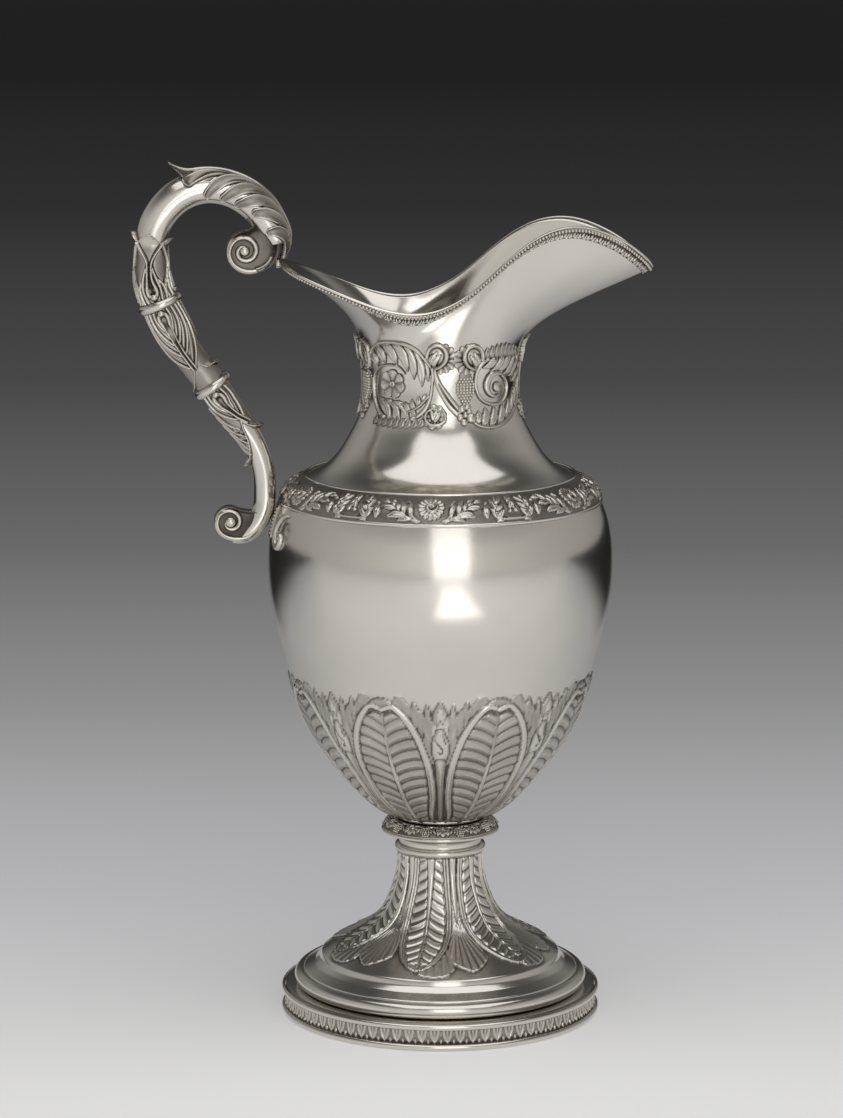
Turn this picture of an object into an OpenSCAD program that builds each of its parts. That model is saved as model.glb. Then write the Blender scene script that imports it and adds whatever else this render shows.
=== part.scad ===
// Silver water pitcher: a footed ewer raised from sheet, with cast mounts and a cast handle.
// Frame: +Z up, spout towards +X, handle towards -X, origin at the middle of the foot's rest face.

/* [Foot] */
// Outer radius of the foot
foot_r = 76.8; // [70:0.2:84]
// Height of the leaf strip round the foot, with its two wires
foot_band_h = 12.9; // [10:0.1:16]
// Radius of the rounded step above the foot flange
foot_step_r = 70; // [66:0.2:73]
// Radius of the domed part of the foot
dome_r = 57; // [52:0.5:60]
// Height at which the dome starts
dome_z = 28.7; // [26:0.1:31]
// Radius of the stem at its narrowest
stem_r = 19.8; // [17:0.1:20]
// Height of the ring at the top of the stem
stem_ring_z = 80.5; // [78:0.1:82]

/* [Collar] */
// Radius of the flanged collar under the bowl
collar_r = 29; // [26:0.5:32]
// Height of the collar's edge wire
collar_z = 89; // [88:0.1:90]
// Radius of the ring that the bowl sits on
seat_r = 21.5; // [20.8:0.1:23]
// Height of the underside of the bowl
bowl_z = 97.4; // [97:0.1:99]

/* [Body] */
// Thickness of the sheet
wall = 1.2; // [0.8:0.1:1.6]
// Radius of the bowl at its widest
bowl_r = 82; // [79:0.5:84]
// Height of the widest part of the bowl
bowl_wide_z = 217.5; // [214:0.5:221]
// Radius of the bowl where the shoulder band starts
shoulder_r = 76; // [75:0.1:77]
// Height of the shoulder band's lower edge
shoulder_z = 250; // [249:0.1:251]
// Radius of the shoulder band's upper edge
shoulder_top_r = 64.4; // [63:0.1:66]
// Height of the shoulder band's upper edge
shoulder_top_z = 261; // [260.5:0.1:262]
// Radius of the neck at its narrowest
neck_r = 36.2; // [35:0.1:37]
// Radius of the neck where the mouth starts
mouth_r = 38.2; // [37.5:0.1:39]
// Height at which the mouth starts
mouth_z = 322; // [320:0.5:324]

/* [Handle] */
// Width of the upper scroll, side to side
upper_volute_w = 14; // [11:0.5:16]
// Width of the lower scroll, side to side
lower_volute_w = 11; // [9:0.5:13]
// Half the length of each ring on the handle, along the handle
ring_half = 0.2; // [0.15:0.01:0.25]

/* [Hidden] */
$fn = 96;
wire = 1.6;
relief = 1.4;
tube_sides = 24;
spoke = 360 / tube_sides;
upper_volute_at = [-92.3, 368.6];
lower_volute_at = [-99.9, 240.2];

// Mouth edge from the spout's tip to the handle: distance along the body, half width, height.
RIM = [
    [99.5, 0, 358.8], [98, 5.5, 360.6], [93.5, 11, 364.8], [85.5, 16, 370.8], [75.5, 20.5, 376],
    [63, 24.5, 379.4], [49.5, 28.5, 378], [37, 32, 372], [25, 34.5, 362.6], [12.5, 36.5, 352],
    [0, 38, 344.6], [-12, 39, 341.2], [-26, 39, 342.4], [-42, 38.5, 348], [-56, 35.5, 353.8],
    [-67, 28, 358.4], [-73, 16, 361.2], [-75, 0, 362.6]];

// Centre line of the handle from the upper scroll to the lower one: x, z and radius.
HANDLE = [
    [-81.5, 382, 7.2], [-86.5, 388.8, 7.6], [-95.5, 395.2, 7.6], [-107.5, 398.2, 7.6],
    [-118.8, 396.2, 7.8], [-127, 390.6, 7.7], [-132.6, 383.2, 7.5], [-135.3, 375, 7.2],
    [-135.6, 365, 7], [-135.2, 355, 7.6], [-131.7, 344, 8.2], [-127, 334, 8.2],
    [-120.6, 322.5, 7.6], [-114, 313.5, 7.4], [-107.5, 305, 7.2], [-101.3, 296.3, 6.6],
    [-95.2, 288, 6], [-89.8, 280.4, 5.4], [-85.8, 272, 5], [-83.6, 263, 5.1],
    [-83.2, 254, 5.2], [-84.2, 245.5, 5.1], [-88, 238.2, 4.8]];
CALYX_AT = 7;
UPPER_RING_AT = 10;
LOWER_RING_AT = 14;
LOWER_TUBE_AT = 17;
HANDLE_END = len(HANDLE) - 1;

// Smooth curve through a list of points: value at position s, counted in points.
function curve_at(p, s) =
    let (last = len(p) - 1, i = min(last - 1, max(0, floor(s))), t = s - i,
         a = i > 0 ? p[i - 1] : 2 * p[0] - p[1],
         b = p[i],
         c = p[i + 1],
         d = i + 2 <= last ? p[i + 2] : 2 * p[last] - p[last - 1])
    0.5 * (2 * b + (c - a) * t + (2 * a - 5 * b + 4 * c - d) * t * t
           + (3 * b - a - 3 * c + d) * t * t * t);
function curve(p, per = 4) =
    [for (k = [0:(len(p) - 1) * per]) curve_at(p, k / per)];

// Cubic arc between two points with two pulls.
function bezier(a, b, c, d, t) =
    pow(1 - t, 3) * a + 3 * t * pow(1 - t, 2) * b + 3 * t * t * (1 - t) * c + pow(t, 3) * d;

function unit(v) = v / norm(v);
// Outline of an even wall: the outer points, then the same points moved in by t.
function inset_at(p, i, t) =
    let (d = unit(p[min(len(p) - 1, i + 1)] - p[max(0, i - 1)]))
    p[i] + t * [-d[1], d[0]];
function shell_outline(p, t) =
    concat(p, [for (i = [len(p) - 1:-1:0]) inset_at(p, i, t)]);
// Half-round bead lying against a wall: centre of its flat, width and tilt of the flat.
module bead_ring(r, z, w, tilt = 0) {
    rotate_extrude()
        translate([r, z])
            rotate(tilt)
                polygon([for (a = [-90:15:90]) w / 2 * [cos(a), sin(a)]]);
}

// Outer outlines, from the lowest point up: radius and height.
DOME = concat(
    [[66.4, 20.6], [64.6, 21.6], [60.5, 23.4], [58, 26], [dome_r + 0.4, dome_z - 0.6]],
    curve([[dome_r, dome_z], [50.5, 32.6], [43.5, 36.2], [37, 39.8], [31.4, 43.8], [27, 49],
           [23.6, 56], [21, 64], [stem_r, 71.5], [stem_r + 0.1, stem_ring_z - 2.1]], 3));
BOWL = curve([[seat_r, bowl_z], [27, 99.6], [34, 104.4], [42.2, 112], [50.4, 122], [57.6, 132],
              [63.2, 141.6], [68.4, 154], [72.4, 167], [76, 180], [79.2, 192], [81.4, 205],
              [bowl_r, bowl_wide_z], [81.3, 231], [79.2, 241], [shoulder_r, shoulder_z]], 3);
BAND = curve([[shoulder_r, shoulder_z], [74.6, 254.2], [70.4, 257.9],
              [shoulder_top_r, shoulder_top_z]], 3);
NECK = curve([[shoulder_top_r, shoulder_top_z], [57, 263.9], [51.8, 268], [47.4, 273.4],
              [43.6, 279.8], [40.2, 286.2], [37.6, 293], [neck_r + 0.2, 300], [neck_r, 307],
              [36.8, 315], [mouth_r, mouth_z]], 3);
function swap(p) = [for (q = p) [q[1], q[0]]];
BODY_BY_Z = swap(concat(BOWL, BAND));
NECK_BY_Z = swap(NECK);
// Heights of a strip on the body, every step from z0 to z1.
function strip(table, z0, z1, n) =
    [for (k = [0:n]) let (z = z0 + (z1 - z0) * k / n) [lookup(z, table), z]];

module raised(outline, t = wall) {
    rotate_extrude() polygon(shell_outline(outline, t));
}
module applied(outline, t = relief) {
    rotate_extrude() polygon(shell_outline(outline, -t));
}

module foot_lower_wire() {
    color("silver") bead_ring(foot_r - wire, wire, 2 * wire);
}
module foot_leaf_band() {
    color("gray")
        rotate_extrude()
            translate([foot_r - wire - relief, 0])
                square([relief, foot_band_h]);
}
module foot_upper_wire() {
    color("silver") bead_ring(foot_r - wire, foot_band_h - wire, 2 * wire);
}
// Flat ring inside the top of the leaf band.
module foot_flange() {
    color("silver")
        rotate_extrude()
            translate([foot_step_r - 5, foot_band_h - wall])
                square([foot_r - wire - relief - foot_step_r + 5, wall]);
}
module foot_step() {
    step_h = 20.6 - foot_band_h;
    color("silver")
        rotate_extrude() {
            translate([foot_step_r - step_h / 2 + 0.4, foot_band_h + step_h / 2])
                intersection() {
                    circle(d = step_h, $fn = 32);
                    translate([0, -step_h]) square([step_h, 2 * step_h]);
                }
            translate([foot_step_r - 5, foot_band_h])
                square([5.4 - step_h / 2, step_h]);
        }
}
module foot_dome() {
    color("silver") raised(DOME);
}
module stem_ring() {
    color("silver") {
        bead_ring(stem_r, stem_ring_z, 4.2);
        rotate_extrude()
            translate([stem_r - wall, stem_ring_z - 2.1])
                square([wall, 4.2]);
    }
}
// Hollow moulding from the stem ring out to the collar.
module stem_cap() {
    top = collar_z - 1;
    color("silver")
        raised([[stem_r, stem_ring_z + 2.1], [stem_r, top - 3.4], [stem_r + 0.8, top - 2],
                [stem_r + 2.6, top - 0.8], [stem_r + 5, top]]);
}
module collar() {
    color("silver")
        raised([[stem_r + 5, collar_z - 1], [collar_r - 2, collar_z - 0.4],
                [collar_r - 1.4, collar_z + 1.2], [collar_r - 3.4, collar_z + 3.8],
                [collar_r - 6.4, collar_z + 5.4], [seat_r - 1, collar_z + 6]]);
}
module collar_grape_band() {
    color("gray")
        applied([[collar_r - 1.4, collar_z + 1.2], [collar_r - 3.4, collar_z + 3.8],
                 [collar_r - 6.4, collar_z + 5.4]], 0.7);
}
module collar_edge_wire() {
    color("silver") bead_ring(collar_r - 1.7, collar_z, 2);
}
module bowl_seat_ring() {
    seat_h = bowl_z - collar_z - 6;
    color("silver") {
        bead_ring(seat_r - 1, collar_z + 6 + seat_h / 2, seat_h);
        rotate_extrude()
            translate([seat_r - 2.2, collar_z + 6])
                square([1.2, seat_h]);
    }
}
// The bowl is closed below by a flat disc that rests on the seat ring.
module bowl() {
    color("silver") {
        raised(BOWL);
        translate([0, 0, bowl_z]) cylinder(r = seat_r, h = wall);
    }
}
module shoulder_lower_wire() {
    color("silver") bead_ring(shoulder_r, shoulder_z - 0.6, 1.8, -8);
}
module shoulder_band() {
    color("gray") applied(BAND, relief);
}
module shoulder_upper_wire() {
    color("silver") bead_ring(shoulder_top_r - 0.4, shoulder_top_z + 0.5, 1.6, 64);
}
module shoulder_neck() {
    color("silver") raised(concat(BAND, [for (i = [1:len(NECK) - 1]) NECK[i]]));
}
module neck_scroll_band() {
    color("gray") applied(strip(NECK_BY_Z, 287, mouth_z, 12), relief);
}

// Mouth surface: s runs round the mouth edge in points of RIM, signed by side; t runs up.
RIM_END = len(RIM) - 1;
function rim_point(s) =
    let (q = curve_at(RIM, abs(s)))
    [q[0], abs(s) < 0.001 || abs(s) > RIM_END - 0.001 ? 0 : sign(s) * q[1], q[2]];
function mouth_point(s, t) =
    let (a = 180 * s / RIM_END,
         foot = [mouth_r * cos(a), mouth_r * sin(a), mouth_z],
         edge = rim_point(s),
         rise = edge - foot,
         back = (1 - cos(a)) / 2,
         flare = 0.155 + 0.365 * back,
         upturn = 0.31 - 0.14 * pow(max(0, cos(a)), 6))
    bezier(foot, foot + [0, 0, 0.4 * rise[2]],
           edge - [flare * rise[0], flare * rise[1], upturn * rise[2]], edge, t);
function mouth_normal(s, t) =
    let (e = 0.02,
         du = mouth_point(s + e, t) - mouth_point(s - e, t),
         dv = mouth_point(s, min(1, t + e)) - mouth_point(s, max(0, t - e)))
    unit(cross(du, dv));
rim_per = 2;
mouth_rows = 10;
rim_columns = 2 * RIM_END * rim_per;
function rim_s(c) = -RIM_END + c / rim_per + (c == 0 || c == rim_columns ? 0.0001 : 0);

// Closed band round the mouth from a grid of rings; each ring is one row of points.
module ring_skin(rings) {
    n = len(rings[0]);
    m = len(rings);
    polyhedron(
        points = [for (r = rings) each r],
        faces = [for (j = [0:m - 1], i = [0:n - 1])
                 let (k = (i + 1) % n, h = (j + 1) % m)
                 each [[j * n + i, h * n + i, h * n + k], [j * n + i, h * n + k, j * n + k]]],
        convexity = 8);
}
module mouth() {
    outer = [for (j = [0:mouth_rows])
             [for (c = [0:rim_columns - 1]) mouth_point(rim_s(c), j / mouth_rows)]];
    inner = [for (j = [mouth_rows:-1:0])
             [for (c = [0:rim_columns - 1])
              let (s = rim_s(c), t = j / mouth_rows, n = mouth_normal(s, t))
              mouth_point(s, t) - wall * (j == 0 ? unit([n[0], n[1], 0]) : n)]];
    color("silver") ring_skin(concat(outer, inner));
}
// A section that follows the mouth edge: each point is [outwards, up] from the edge.
module rim_strip(section) {
    ring_skin([for (q = section)
               [for (c = [0:rim_columns - 1])
                let (s = rim_s(c),
                     n = mouth_normal(s, 0.98),
                     up = unit(mouth_point(s, 1) - mouth_point(s, 0.96)))
                mouth_point(s, 1) + q[0] * n + q[1] * up]]);
}
module rim_wire() {
    color("silver")
        rim_strip([for (k = [0:7]) [0.9 * cos(-k * 45) - 0.2, 0.9 + 0.9 * sin(-k * 45)]]);
}
module rim_leaf_band() {
    color("gray") rim_strip([[0.9, -0.1], [0.9, -4.8], [0.1, -5], [0.1, -0.1]]);
}

// Handle: a round bar along HANDLE from place a to place b; swell(u) adds to its radius.
function bar_centre(s) = let (q = curve_at(HANDLE, s)) [q[0], 0, q[1]];
function bar_radius(s) = curve_at(HANDLE, s)[2];
function bar_out(s) =
    let (e = 0.01, last = HANDLE_END,
         d = curve_at(HANDLE, min(last, s + e)) - curve_at(HANDLE, max(0, s - e)))
    unit([d[1], 0, -d[0]]);
module bar(a, b, extra, steps) {
    n = tube_sides;
    rings = [for (k = [0:steps])
             let (u = k / steps, s = a + (b - a) * u, c = bar_centre(s), o = bar_out(s),
                  r = bar_radius(s) + lookup(u, extra))
             [for (i = [0:n - 1]) c + r * (cos(i * spoke) * o + [0, sin(i * spoke), 0])]];
    ends = [[for (i = [n - 1:-1:0]) i], [for (i = [0:n - 1]) steps * n + i]];
    polyhedron(
        points = [for (r = rings) each r],
        faces = concat(ends,
                       [for (j = [0:steps - 1], i = [0:n - 1])
                        let (k = (i + 1) % n)
                        each [[j * n + i, j * n + k, (j + 1) * n + k],
                              [j * n + i, (j + 1) * n + k, (j + 1) * n + i]]]),
        convexity = 4);
}
module handle_upper_tube() {
    color("silver") bar(0, CALYX_AT, [[0, 0], [1, 0]], 28);
}
module handle_calyx() {
    color("gray")
        bar(CALYX_AT, UPPER_RING_AT - ring_half,
            [[0, 3.2], [0.12, 1.2], [0.35, 0.6], [0.75, 1], [1, 0.4]], 12);
}
module handle_upper_ring() {
    color("silver")
        bar(UPPER_RING_AT - ring_half, UPPER_RING_AT + ring_half,
            [[0, 0.4], [0.25, 1.6], [0.5, 2], [0.75, 1.6], [1, 0.4]], 4);
}
module handle_grip() {
    color("gray")
        bar(UPPER_RING_AT + ring_half, LOWER_RING_AT - ring_half,
            [[0, 0.4], [0.3, 1.2], [0.65, 0.4], [0.9, 1], [1, 0.4]], 16);
}
module handle_lower_ring() {
    color("silver")
        bar(LOWER_RING_AT - ring_half, LOWER_RING_AT + ring_half,
            [[0, 0.4], [0.25, 1.4], [0.5, 1.8], [0.75, 1.4], [1, 0.4]], 4);
}
module handle_lower_sheath() {
    color("gray")
        bar(LOWER_RING_AT + ring_half, LOWER_TUBE_AT,
            [[0, 0.4], [0.2, 1], [0.6, 0.7], [1, 0.8]], 12);
}
module handle_lower_tube() {
    color("silver") bar(LOWER_TUBE_AT, HANDLE_END, [[0, 0], [1, 0]], 20);
}

// Leaf laid over the outside of the upper bar, with an upturned tip.
module handle_leaf() {
    first = 0.1;
    last = 4.6;
    steps = 24;
    half = 5;
    rings = [for (k = [0:steps])
             let (u = k / steps, s = first + (last - first) * u,
                  c = bar_centre(s), o = bar_out(s), r = bar_radius(s),
                  lift = u < 0.85 ? 0 : 5.2 * pow((u - 0.85) / 0.15, 1.6),
                  t = relief + 0.4)
             concat(
                 [for (i = [-half:half])
                  c + (r + lift + t) * (cos(i * spoke) * o + [0, sin(i * spoke), 0])],
                 [for (i = [half:-1:-half])
                  c + (r + lift) * (cos(i * spoke) * o + [0, sin(i * spoke), 0])])];
    n = len(rings[0]);
    // Each end is a strip of quads from the leaf's outer edge to its inner one.
    tip = steps * n;
    ends = [for (i = [0:2 * half - 1])
            each [[n - 1 - i, n - 2 - i, i + 1, i],
                  [tip + i, tip + i + 1, tip + n - 2 - i, tip + n - 1 - i]]];
    color("gray")
        polyhedron(
            points = [for (r = rings) each r],
            faces = concat(ends,
                           [for (j = [0:steps - 1], i = [0:n - 1])
                            let (k = (i + 1) % n)
                            each [[j * n + i, j * n + k, (j + 1) * n + k],
                                  [j * n + i, (j + 1) * n + k, (j + 1) * n + i]]]),
            convexity = 6);
}

// Scroll end of the handle. Its outline runs from the bar's end round the scroll and back;
// winding gives the scroll's radius at each angle, and side is the bar's outer side.
module volute(at, end, side, winding, w) {
    c = bar_centre(end);
    o = side * bar_out(end);
    r = bar_radius(end);
    bar_edges = [[c[0] - r * o[0], c[2] - r * o[2]], [c[0] + r * o[0], c[2] + r * o[2]]];
    first = winding[0][0];
    last = winding[len(winding) - 1][0];
    steps = 36;
    scroll = [for (k = [0:steps])
              let (a = first + (last - first) * k / steps)
              at + lookup(-a, [for (q = winding) [-q[0], q[1]]]) * [cos(a), sin(a)]];
    rotate([90, 0, 0])
        linear_extrude(height = w, center = true)
            polygon(concat(bar_edges, scroll));
}
module handle_upper_volute() {
    color("silver")
        volute(upper_volute_at, 0, 1,
               [[30, 18.4], [-10, 16.4], [-50, 12.6], [-90, 10.4], [-180, 8.4], [-285, 9]],
               upper_volute_w);
}
module handle_lower_volute() {
    color("silver")
        volute(lower_volute_at, HANDLE_END, -1,
               [[-32, 13.4], [-60, 10.4], [-90, 8.8], [-180, 7.4], [-340, 7.2]],
               lower_volute_w);
}
// Small boss that ties the upper scroll to the back of the mouth.
module handle_rim_pad() {
    color("silver")
        translate([-77.4, 0, 362.4])
            rotate([0, 90, 0])
                cylinder(r = 2.4, h = 2.2);
}

// Plates that follow the body's wall over part of a turn, about the handle's side.
module wall_patch(middle, spread, z0, z1, t) {
    rotate([0, 0, middle - spread / 2])
        rotate_extrude(angle = spread)
            polygon(shell_outline(strip(BODY_BY_Z, z0, z1, 6), -t));
}
plate_t = 1;
module handle_body_plate() {
    color("gray") wall_patch(180, 12, 233, 248, plate_t);
}
module handle_plate_scrolls() {
    color("silver")
        for (side = [-1, 1])
            wall_patch(180 + side * 16.5, 12, 229, 245, relief);
}

foot_lower_wire();
foot_leaf_band();
foot_upper_wire();
foot_flange();
foot_step();
foot_dome();
stem_ring();
stem_cap();
collar();
collar_grape_band();
collar_edge_wire();
bowl_seat_ring();
bowl();
shoulder_lower_wire();
shoulder_band();
shoulder_upper_wire();
shoulder_neck();
neck_scroll_band();
mouth();
rim_leaf_band();
rim_wire();
handle_leaf();
handle_upper_volute();
handle_rim_pad();
handle_upper_tube();
handle_calyx();
handle_upper_ring();
handle_grip();
handle_lower_ring();
handle_lower_sheath();
handle_lower_tube();
handle_lower_volute();
handle_body_plate();
handle_plate_scrolls();
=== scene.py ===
"""Silver water pitcher: chased body, cast mounts and cast scroll handle, built round the CAD frame."""

import math

import bpy
import numpy as np
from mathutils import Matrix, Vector


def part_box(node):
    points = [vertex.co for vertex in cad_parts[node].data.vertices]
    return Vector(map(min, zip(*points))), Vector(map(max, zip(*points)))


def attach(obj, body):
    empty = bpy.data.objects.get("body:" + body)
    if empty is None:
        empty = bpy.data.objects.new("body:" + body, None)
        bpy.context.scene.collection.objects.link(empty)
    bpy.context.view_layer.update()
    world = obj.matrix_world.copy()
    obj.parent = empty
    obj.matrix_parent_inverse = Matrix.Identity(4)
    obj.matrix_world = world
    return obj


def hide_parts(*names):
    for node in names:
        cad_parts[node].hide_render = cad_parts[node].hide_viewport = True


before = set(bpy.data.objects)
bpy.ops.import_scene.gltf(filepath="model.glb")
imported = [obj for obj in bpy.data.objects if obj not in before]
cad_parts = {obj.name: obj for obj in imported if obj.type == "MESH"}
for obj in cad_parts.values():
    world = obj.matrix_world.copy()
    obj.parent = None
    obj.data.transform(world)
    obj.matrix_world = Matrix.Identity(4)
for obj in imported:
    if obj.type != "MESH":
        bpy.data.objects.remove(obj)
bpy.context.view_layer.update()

MM = 0.001
TURN = 2 * math.pi


# ---------------------------------------------------------------- small maths

def smooth(x, low=0.0, high=1.0):
    """Eased step from 0 at low to 1 at high."""
    t = np.clip((x - low) / (high - low), 0, 1)
    return t * t * (3 - 2 * t)


def cubic(knots, values, at):
    """The smoothest curve through values at the knots, read at the places at."""
    t, p = np.asarray(knots, float), np.asarray(values, float)
    n, h = len(t), np.diff(knots)
    a, b = np.eye(n), np.zeros_like(p)
    for i in range(1, n - 1):
        a[i, i - 1:i + 2] = h[i - 1], 2 * (h[i - 1] + h[i]), h[i]
        b[i] = 6 * ((p[i + 1] - p[i]) / h[i] - (p[i] - p[i - 1]) / h[i - 1])
    m = np.linalg.solve(a, b)
    at = np.atleast_1d(np.asarray(at, float))
    i = np.clip(np.searchsorted(t, at, side="right") - 1, 0, n - 2)
    u, w, k = (at - t[i])[:, None], (t[i + 1] - at)[:, None], h[i][:, None]
    q = (m[i] * w ** 3 + m[i + 1] * u ** 3) / (6 * k)
    return q + (p[i] / k - m[i] * k / 6) * w + (p[i + 1] / k - m[i + 1] * k / 6) * u


def spline(points, count):
    """A curve of even curvature through points, as count places evenly spread along it."""
    p = np.array(points, float)
    knots = np.r_[0, np.cumsum(np.linalg.norm(np.diff(p, axis=0), axis=1) ** 0.7)]
    return evenly(cubic(knots, p, np.linspace(0, knots[-1], 30 * len(p))), count)


def evenly(p, count):
    """count places spread evenly along the polyline p."""
    s = np.r_[0, np.cumsum(np.linalg.norm(np.diff(p, axis=0), axis=1))]
    at = np.linspace(0, s[-1], count)
    return np.stack([np.interp(at, s, p[:, k]) for k in range(p.shape[1])], 1)


def unit(v):
    return v / np.maximum(np.linalg.norm(v, axis=-1, keepdims=True), 1e-12)


def turned_corner(a, b, c, radius, steps):
    """Places that turn the corner b, between a and c, over a small radius."""
    la, lc = np.linalg.norm(a - b), np.linalg.norm(c - b)
    r = min(radius, 0.45 * la, 0.45 * lc)
    start, end = b + (a - b) * r / la, b + (c - b) * r / lc
    return [(1 - t) ** 2 * start + 2 * t * (1 - t) * b + t * t * end
            for t in np.linspace(0, 1, steps + 1)]


def rounded(corners, radius):
    """A closed outline with each corner turned over a small radius."""
    p = np.array(corners, float)
    out = []
    for a, b, c in zip(np.roll(p, 1, 0), p, np.roll(p, -1, 0)):
        out += turned_corner(a, b, c, radius, 3)
    return np.array(out)


def rounded_open(corners, radius):
    """An open outline with its inner corners turned over a small radius."""
    p = np.array(corners, float)
    out = [p[0]]
    for a, b, c in zip(p[:-2], p[1:-1], p[2:]):
        out += turned_corner(a, b, c, radius, 4)
    return np.array(out + [p[-1]])


# ---------------------------------------------------------------- meshes

def mesh_piece(name, verts, faces, weld=False, **attributes):
    """A closed mesh piece from millimetre places; weld joins places that coincide, as at a pole."""
    verts = np.asarray(verts, float).reshape(-1, 3)
    faces = np.asarray(faces, int)
    tri = np.vstack([faces[:, [0, 1, 2]], faces[:, [0, 2, 3]]]) if faces.shape[1] == 4 else faces
    if weld:
        _, kept, joined = np.unique(np.round(verts * 2e4), axis=0, return_index=True,
                                    return_inverse=True)
        verts, tri = verts[kept], joined.ravel()[tri]
        whole = (tri[:, 0] != tri[:, 1]) & (tri[:, 1] != tri[:, 2]) & (tri[:, 2] != tri[:, 0])
        tri = faces = tri[whole]
        attributes = {key: np.ravel(values)[kept] for key, values in attributes.items()}
    a, b, c = verts[tri[:, 0]], verts[tri[:, 1]], verts[tri[:, 2]]
    if np.einsum("ij,ij->i", a, np.cross(b, c)).sum() < 0:
        faces = faces[:, ::-1]
    mesh = bpy.data.meshes.new(name)
    mesh.vertices.add(len(verts))
    mesh.vertices.foreach_set("co", (verts * MM).astype(np.float32).ravel())
    corners = faces.shape[1]
    mesh.loops.add(faces.size)
    mesh.loops.foreach_set("vertex_index", faces.astype(np.int32).ravel())
    mesh.polygons.add(len(faces))
    mesh.polygons.foreach_set("loop_start", np.arange(0, faces.size, corners, dtype=np.int32))
    mesh.update(calc_edges=True)
    for key, values in attributes.items():
        layer = mesh.attributes.new(key, "FLOAT", "POINT")
        layer.data.foreach_set("value", np.asarray(values, np.float32).ravel())
    mesh.shade_smooth()
    mesh.validate()
    piece = bpy.data.objects.new(name, mesh)
    bpy.context.scene.collection.objects.link(piece)
    return piece


def grid_faces(rows, cols, wrap_rows, wrap_cols):
    """Faces between the places of a grid that is rows by cols, joined round where asked."""
    j, i = np.meshgrid(np.arange(rows if wrap_rows else rows - 1),
                       np.arange(cols if wrap_cols else cols - 1), indexing="ij")
    k, h = (j + 1) % rows, (i + 1) % cols
    return np.stack([j * cols + i, j * cols + h, k * cols + h, k * cols + i], -1).reshape(-1, 4)


def finish_piece(piece, material, slot, *nodes):
    """Gives a piece its finish and hangs it on the frame in place of its CAD solids."""
    piece.data.materials.clear()
    piece.data.materials.append(material)
    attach(piece, "root")
    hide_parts(*nodes)
    return piece


class Wall:
    """An outline of radius and height in mm, turned round the pitcher's axis."""

    def __init__(self, points):
        self.p = np.asarray(points, float)
        self.s = np.r_[0, np.cumsum(np.linalg.norm(np.diff(self.p, axis=0), axis=1))]
        d = unit(np.gradient(self.p, self.s, axis=0))
        self.n = np.stack([d[:, 1], -d[:, 0]], 1)
        self.length = self.s[-1]

    def at(self, s):
        """Radius, height and outward normal at distance s along the outline."""
        return [np.interp(s, self.s, v) for v in (*self.p.T, *self.n.T)]

    def places(self, angle, s, rise):
        """Places at angle (radians) and distance s, raised from the wall by rise."""
        r, z, nr, nz = self.at(s)
        r, z = r + nr * rise, z + nz * rise
        return np.stack([r * np.cos(angle), r * np.sin(angle), z + 0 * angle], -1)


def turned(name, outline, columns=256):
    """A solid turned from a closed outline that stays clear of the axis."""
    p = np.asarray(outline, float)
    angle = np.arange(columns) * TURN / columns
    ring = np.stack([np.cos(angle), np.sin(angle)], -1)
    verts = np.concatenate([p[:, None, :1] * ring[None], np.repeat(p[:, None, 1:], columns, 1)], -1)
    return mesh_piece(name, verts, grid_faces(len(p), columns, True, True),
                      recess=np.zeros(len(p) * columns))


def ring_faces(a, n, b, m):
    """Triangles between a ring of n places from number a and one of m places from number b."""
    if m > n:
        return ring_faces(b, m, a, n)[:, ::-1]
    share = n // m
    i = np.arange(n)
    k = (i + 1) % n
    if share == 1:
        return np.vstack([np.stack([a + i, a + k, b + k], 1), np.stack([a + i, b + k, b + i], 1)])
    j = np.arange(m)
    turn = (j * share + share // 2) % n
    fan = np.stack([a + i, a + k, b + ((i + share - share // 2) // share) % m], 1)
    return np.vstack([fan, np.stack([a + turn, b + (j + 1) % m, b + j], 1)])


def loft(name, blocks):
    """A closed skin over blocks of rings, each (places, recess), joined end to end."""
    verts = [ring for places, _ in blocks for ring in places]
    recess = np.concatenate([np.ravel(r) for _, r in blocks])
    start = np.r_[0, np.cumsum([len(v) for v in verts])]
    faces = [ring_faces(start[i], len(v), start[(i + 1) % len(verts)],
                        len(verts[(i + 1) % len(verts)])) for i, v in enumerate(verts)]
    return mesh_piece(name, np.vstack(verts), np.vstack(faces), recess=recess)


# Plain rows of a shell have one column for this many columns of its relief.
COARSER = 4


def turned_relief(name, wall, s, relief, recess, back_rows):
    """A turned strip: relief (rows along s, columns round it) whose back lies on the wall."""
    angle = np.arange(relief.shape[1]) * TURN / relief.shape[1]
    few = angle[::COARSER]
    back = np.linspace(s[-1], s[0], back_rows)[:, None]
    flat = np.zeros((back_rows, len(few)))
    return loft(name, [(wall.places(angle[None], s[:, None], relief), recess),
                       (wall.places(few[None], back, flat), flat)])


# An openwork casting is cut away where its ground is lower than this, in mm.
CUT_BELOW = -0.3


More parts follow.
